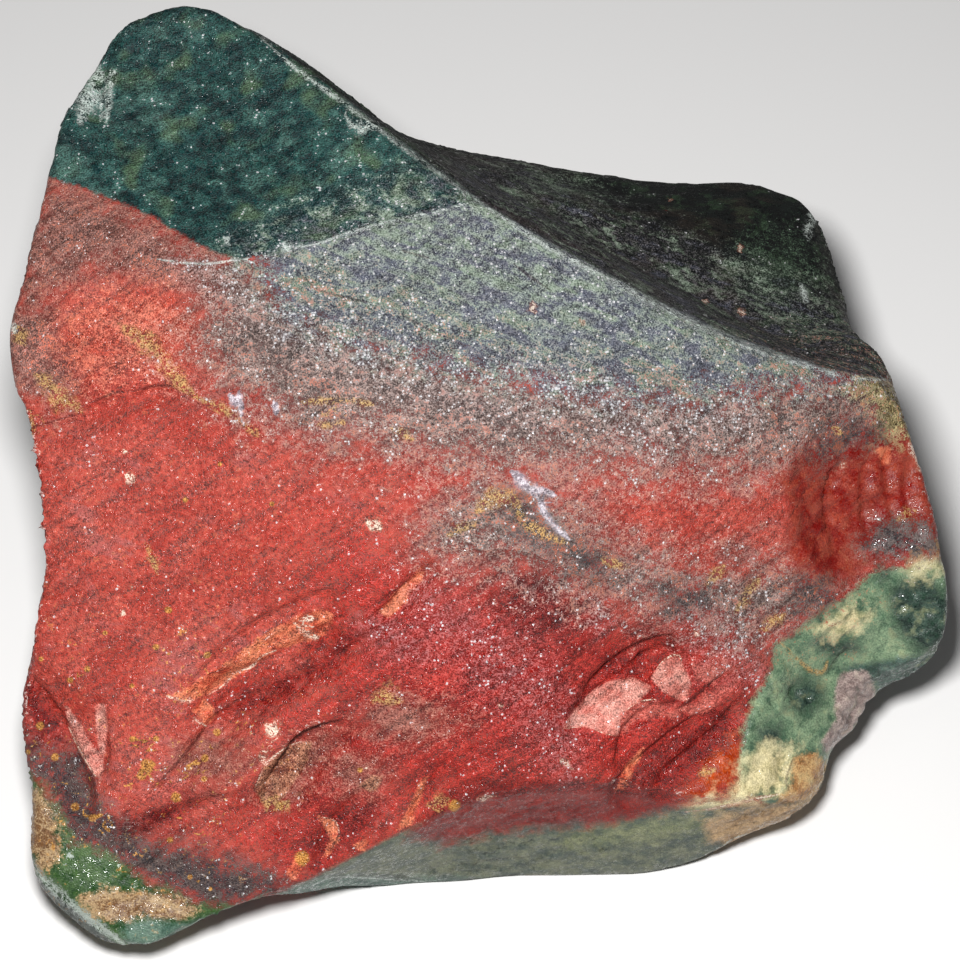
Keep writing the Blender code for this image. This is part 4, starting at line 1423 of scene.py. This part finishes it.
    def edge_wear(self, data: bpy.types.Mesh, rounds: int) -> np.ndarray:
        """How sharply the surface bends outwards at each corner point.

        Args:
            data: the mesh.
            rounds: how often it is evened out with its neighbours.

        Returns:
            0 on flat ground and in hollows, about 1 on an edge.
        """
        places, normals = array_of(data.vertices, "co", 3), array_of(data.vertices, "normal", 3)
        pairs = np.empty(len(data.edges) * 2, np.int64)
        data.edges.foreach_get("vertices", pairs)
        first, second = pairs.reshape(-1, 2).T
        run = places[second] - places[first]
        length = np.maximum(np.linalg.norm(run, axis=1), 1e-9)
        bend = np.einsum("ij,ij->i", normals[second] - normals[first], run) / length ** 2 * MM
        total, count = np.zeros(len(places)), np.zeros(len(places))
        for side in (first, second):
            np.add.at(total, side, bend)
            np.add.at(count, side, 1.0)
        wear = total / np.maximum(count, 1.0)
        for _ in range(rounds):
            total[:] = 0.0
            np.add.at(total, first, wear[second])
            np.add.at(total, second, wear[first])
            wear = 0.5 * wear + 0.5 * total / np.maximum(count, 1.0)
        return np.clip(wear, 0.0, 2.0)

    def mark(self, data: bpy.types.Mesh) -> None:
        """Stores where each zone, vein, chip and crack lies.

        Args:
            data: the mesh, given its attributes.
        """
        normals = array_of(data.vertices, "normal", 3)
        picture = self.view.seen(array_of(data.vertices, "co", 3))
        flat = picture[:, :2]
        for patch in PATCHES:
            depth = np.max([polygon_depth(flat, outline) for outline in patch.outlines], axis=0)
            self.spread(data, "zone_" + patch.name, np.clip(depth / patch.soft + 0.5, -6.0, 7.0))
        for name, lines in LINE_MARKS.items():
            self.spread(data, name, line_offset(flat, lines))
        glitter = np.hypot(*line_offset(flat, GLITTER)[:, :2].T)
        facing = normals @ self.view.to_eye()
        shown = ramp(facing, *self.spans.shown)
        self.spread(data, "glitter", np.exp(-(glitter ** 2) / 2.0) * shown)
        across, down = flat.T
        terms = np.column_stack([np.ones(len(flat)), across, down, across ** 2, down ** 2, across * down])
        front = facing > self.front_facing
        fit, *_ = np.linalg.lstsq(terms[front], picture[front, 2], rcond=None)
        below = terms @ fit - picture[:, 2]
        turned = ramp(-facing, *self.spans.turned)
        self.spread(data, "hidden", turned * ramp(below, *self.spans.below))
        self.spread(data, "edge", self.edge_wear(data, self.wear_rounds))
        self.spread(data, "picture", np.column_stack([flat, np.zeros(len(flat))]))

    def roughness_of(self, data: bpy.types.Mesh) -> np.ndarray:
        """How much fine relief each corner point takes: none on the resting face.

        Args:
            data: the mesh.

        Returns:
            The share of the full relief.
        """
        places = array_of(data.vertices, "co", 3)
        share = ramp(places[:, 2], *self.spans.foot)
        low, high = (np.array(corner) for corner in CAD_BOX)
        room = np.minimum(places - low, high - places)[:, :2].min(axis=1)
        top = high[2] - places[:, 2]
        return share * np.clip(np.minimum(room, top) / self.rim_room, self.least_relief, 1.0)

    def add_grains(self, piece: bpy.types.Object, material: bpy.types.Material) -> None:
        """Sets small quartz grains into the glittering band.

        Args:
            piece: the marked piece, changed in place.
            material: the stone's material.
        """
        sizes = self.grains
        tree = StoneTree("quartz_grains", {
            "Grains per area": sizes.per_square_metre,
            "Grain radius": sizes.radius,
            "Seed": sizes.seed,
        })
        desk = tree.desk
        thick = desk.out("GeometryNodeInputNamedAttribute", {"data_type": "FLOAT"}, {"Name": "glitter"})
        density = thick.power(sizes.gathering) * tree.given("Grains per area")
        spots = desk.node("GeometryNodeDistributePointsOnFaces", None,
                          {"Mesh": tree.given("Geometry"), "Density": density, "Seed": tree.given("Seed")})
        values = {"Radius": tree.given("Grain radius"), "Subdivisions": 1}
        ball = desk.out("GeometryNodeMeshIcoSphere", None, values)
        ball = desk.out("GeometryNodeStoreNamedAttribute", {"data_type": "FLOAT", "domain": "POINT"},
                        {"Geometry": ball, "Name": "grain", "Value": 1.0})
        turn = desk.out("FunctionNodeRandomValue", {"data_type": "FLOAT_VECTOR"},
                        {"Max": sizes.full_turn, "Seed": tree.given("Seed")})
        size = desk.out("FunctionNodeRandomValue", {"data_type": "FLOAT_VECTOR"},
                        {"Min": sizes.least_stretch, "Max": sizes.most_stretch, "Seed": tree.given("Seed")})
        grains = desk.out("GeometryNodeInstanceOnPoints", None, {
            "Points": Value(desk, spots.outputs["Points"]), "Instance": ball, "Rotation": turn, "Scale": size,
        })
        joined = desk.node("GeometryNodeJoinGeometry")
        desk.tree.links.new(grains.socket, joined.inputs[0])
        desk.tree.links.new(tree.given("Geometry").socket, joined.inputs[0])
        tree.close(Value(desk, joined.outputs[0]), material)
        tree.put_on(piece)
        bake_in(piece, "stone")

    def build(self) -> bpy.types.Object:
        """Makes the finished stone and hangs it on the root body.

        Returns:
            The stone.
        """
        material = self.finish.make()
        work = self.body()
        self.fold_ground(work.data)
        self.spread(work.data, "roughen", self.roughness_of(work.data))
        self.spread(work.data, "keen", self.edge_wear(work.data, self.keen_rounds) * self.keen_gain)
        self.add_relief(work, material)
        self.ease_edges(work.data)
        self.thin(work)
        self.mark(work.data)
        self.add_grains(work, material)
        data = work.data
        bpy.data.objects.remove(work)
        places = array_of(data.vertices, "co", 3)
        low, high = (np.array(corner) for corner in CAD_BOX)
        data.vertices.foreach_set("co", np.clip(places, low, high).ravel())
        data.shade_smooth()
        data.update()
        stone = bpy.data.objects.new("stone", data)
        bpy.context.scene.collection.objects.link(stone)
        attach(stone, "root")
        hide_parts(NODE)
        return stone


@dataclass
class Studio:
    """A pale table, one soft light beside the camera, and faint light from all round."""

    view: View = View()
    table_size: float = 4.0
    table_tone: Tone = (0.84, 0.83, 0.82, 1.0)
    table_roughness: float = 0.9
    sky_tone: Tone = (0.95, 0.97, 1.0, 1.0)
    key_power: float = 1.22
    key_size: float = 0.045
    key_distance: float = 0.28
    key_left: float = 0.018
    key_above: float = 0.038
    fill: float = 0.09
    picture_width: float = 0.096
    nearest_seen: float = 0.01

    def table(self) -> bpy.types.Object:
        """Lays the table under the stone.

        Returns:
            The table.
        """
        half = self.table_size / 2.0
        data = bpy.data.meshes.new("table")
        corners = [(-half, -half, 0), (half, -half, 0), (half, half, 0), (-half, half, 0)]
        data.from_pydata(corners, [], [(0, 1, 2, 3)])
        table = bpy.data.objects.new("table", data)
        material = bpy.data.materials.new("table_top")
        material.use_nodes = True
        shader = material.node_tree.nodes["Principled BSDF"]
        shader.inputs["Base Color"].default_value = self.table_tone
        shader.inputs["Roughness"].default_value = self.table_roughness
        data.materials.append(material)
        bpy.context.scene.collection.objects.link(table)
        return table

    def camera(self) -> bpy.types.Object:
        """Places the camera at the height and angle that the stone is looked at from.

        Returns:
            The camera.
        """
        lens = bpy.data.cameras.new("camera")
        lens.sensor_fit = "HORIZONTAL"
        distance = self.view.eye_distance * MM
        lens.lens = lens.sensor_width * distance / self.picture_width
        lens.clip_start = self.nearest_seen
        camera = bpy.data.objects.new("camera", lens)
        away = Vector(self.view.to_eye())
        camera.location = self.view.target() + away * distance
        camera.rotation_euler = away.to_track_quat("Z", "Y").to_euler()
        bpy.context.scene.collection.objects.link(camera)
        bpy.context.scene.camera = camera
        return camera

    def lights(self) -> None:
        """Sets the key light beside the camera and the faint light all round."""
        lamp = bpy.data.lights.new("key", "AREA")
        lamp.shape = "DISK"
        lamp.size = self.key_size
        lamp.energy = self.key_power
        key = bpy.data.objects.new("key", lamp)
        aside = Vector(self.view.up()) * self.key_above - Vector((self.key_left, 0.0, 0.0))
        key.location = self.view.target() + Vector(self.view.to_eye()) * self.key_distance + aside
        key.rotation_euler = (key.location - self.view.target()).to_track_quat("Z", "Y").to_euler()
        bpy.context.scene.collection.objects.link(key)
        world = bpy.data.worlds.new("studio")
        world.use_nodes = True
        sky = world.node_tree.nodes["Background"]
        sky.inputs["Color"].default_value = self.sky_tone
        sky.inputs["Strength"].default_value = self.fill
        bpy.context.scene.world = world
        bpy.context.scene.view_settings.view_transform = "Standard"


def main() -> None:
    """Builds the stone and the studio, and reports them."""
    logging.basicConfig(level=logging.INFO, format="%(name)s: %(message)s")
    stone = Stone().build()
    triangles = sum(len(polygon.vertices) - 2 for polygon in stone.data.polygons)
    LOG.info("%s: %d corner points, %d triangles", stone.name, len(stone.data.vertices), triangles)
    studio = Studio()
    LOG.info("%s laid", studio.table().name)
    LOG.info("%s placed", studio.camera().name)
    studio.lights()


if __name__ == "__main__":
    main()
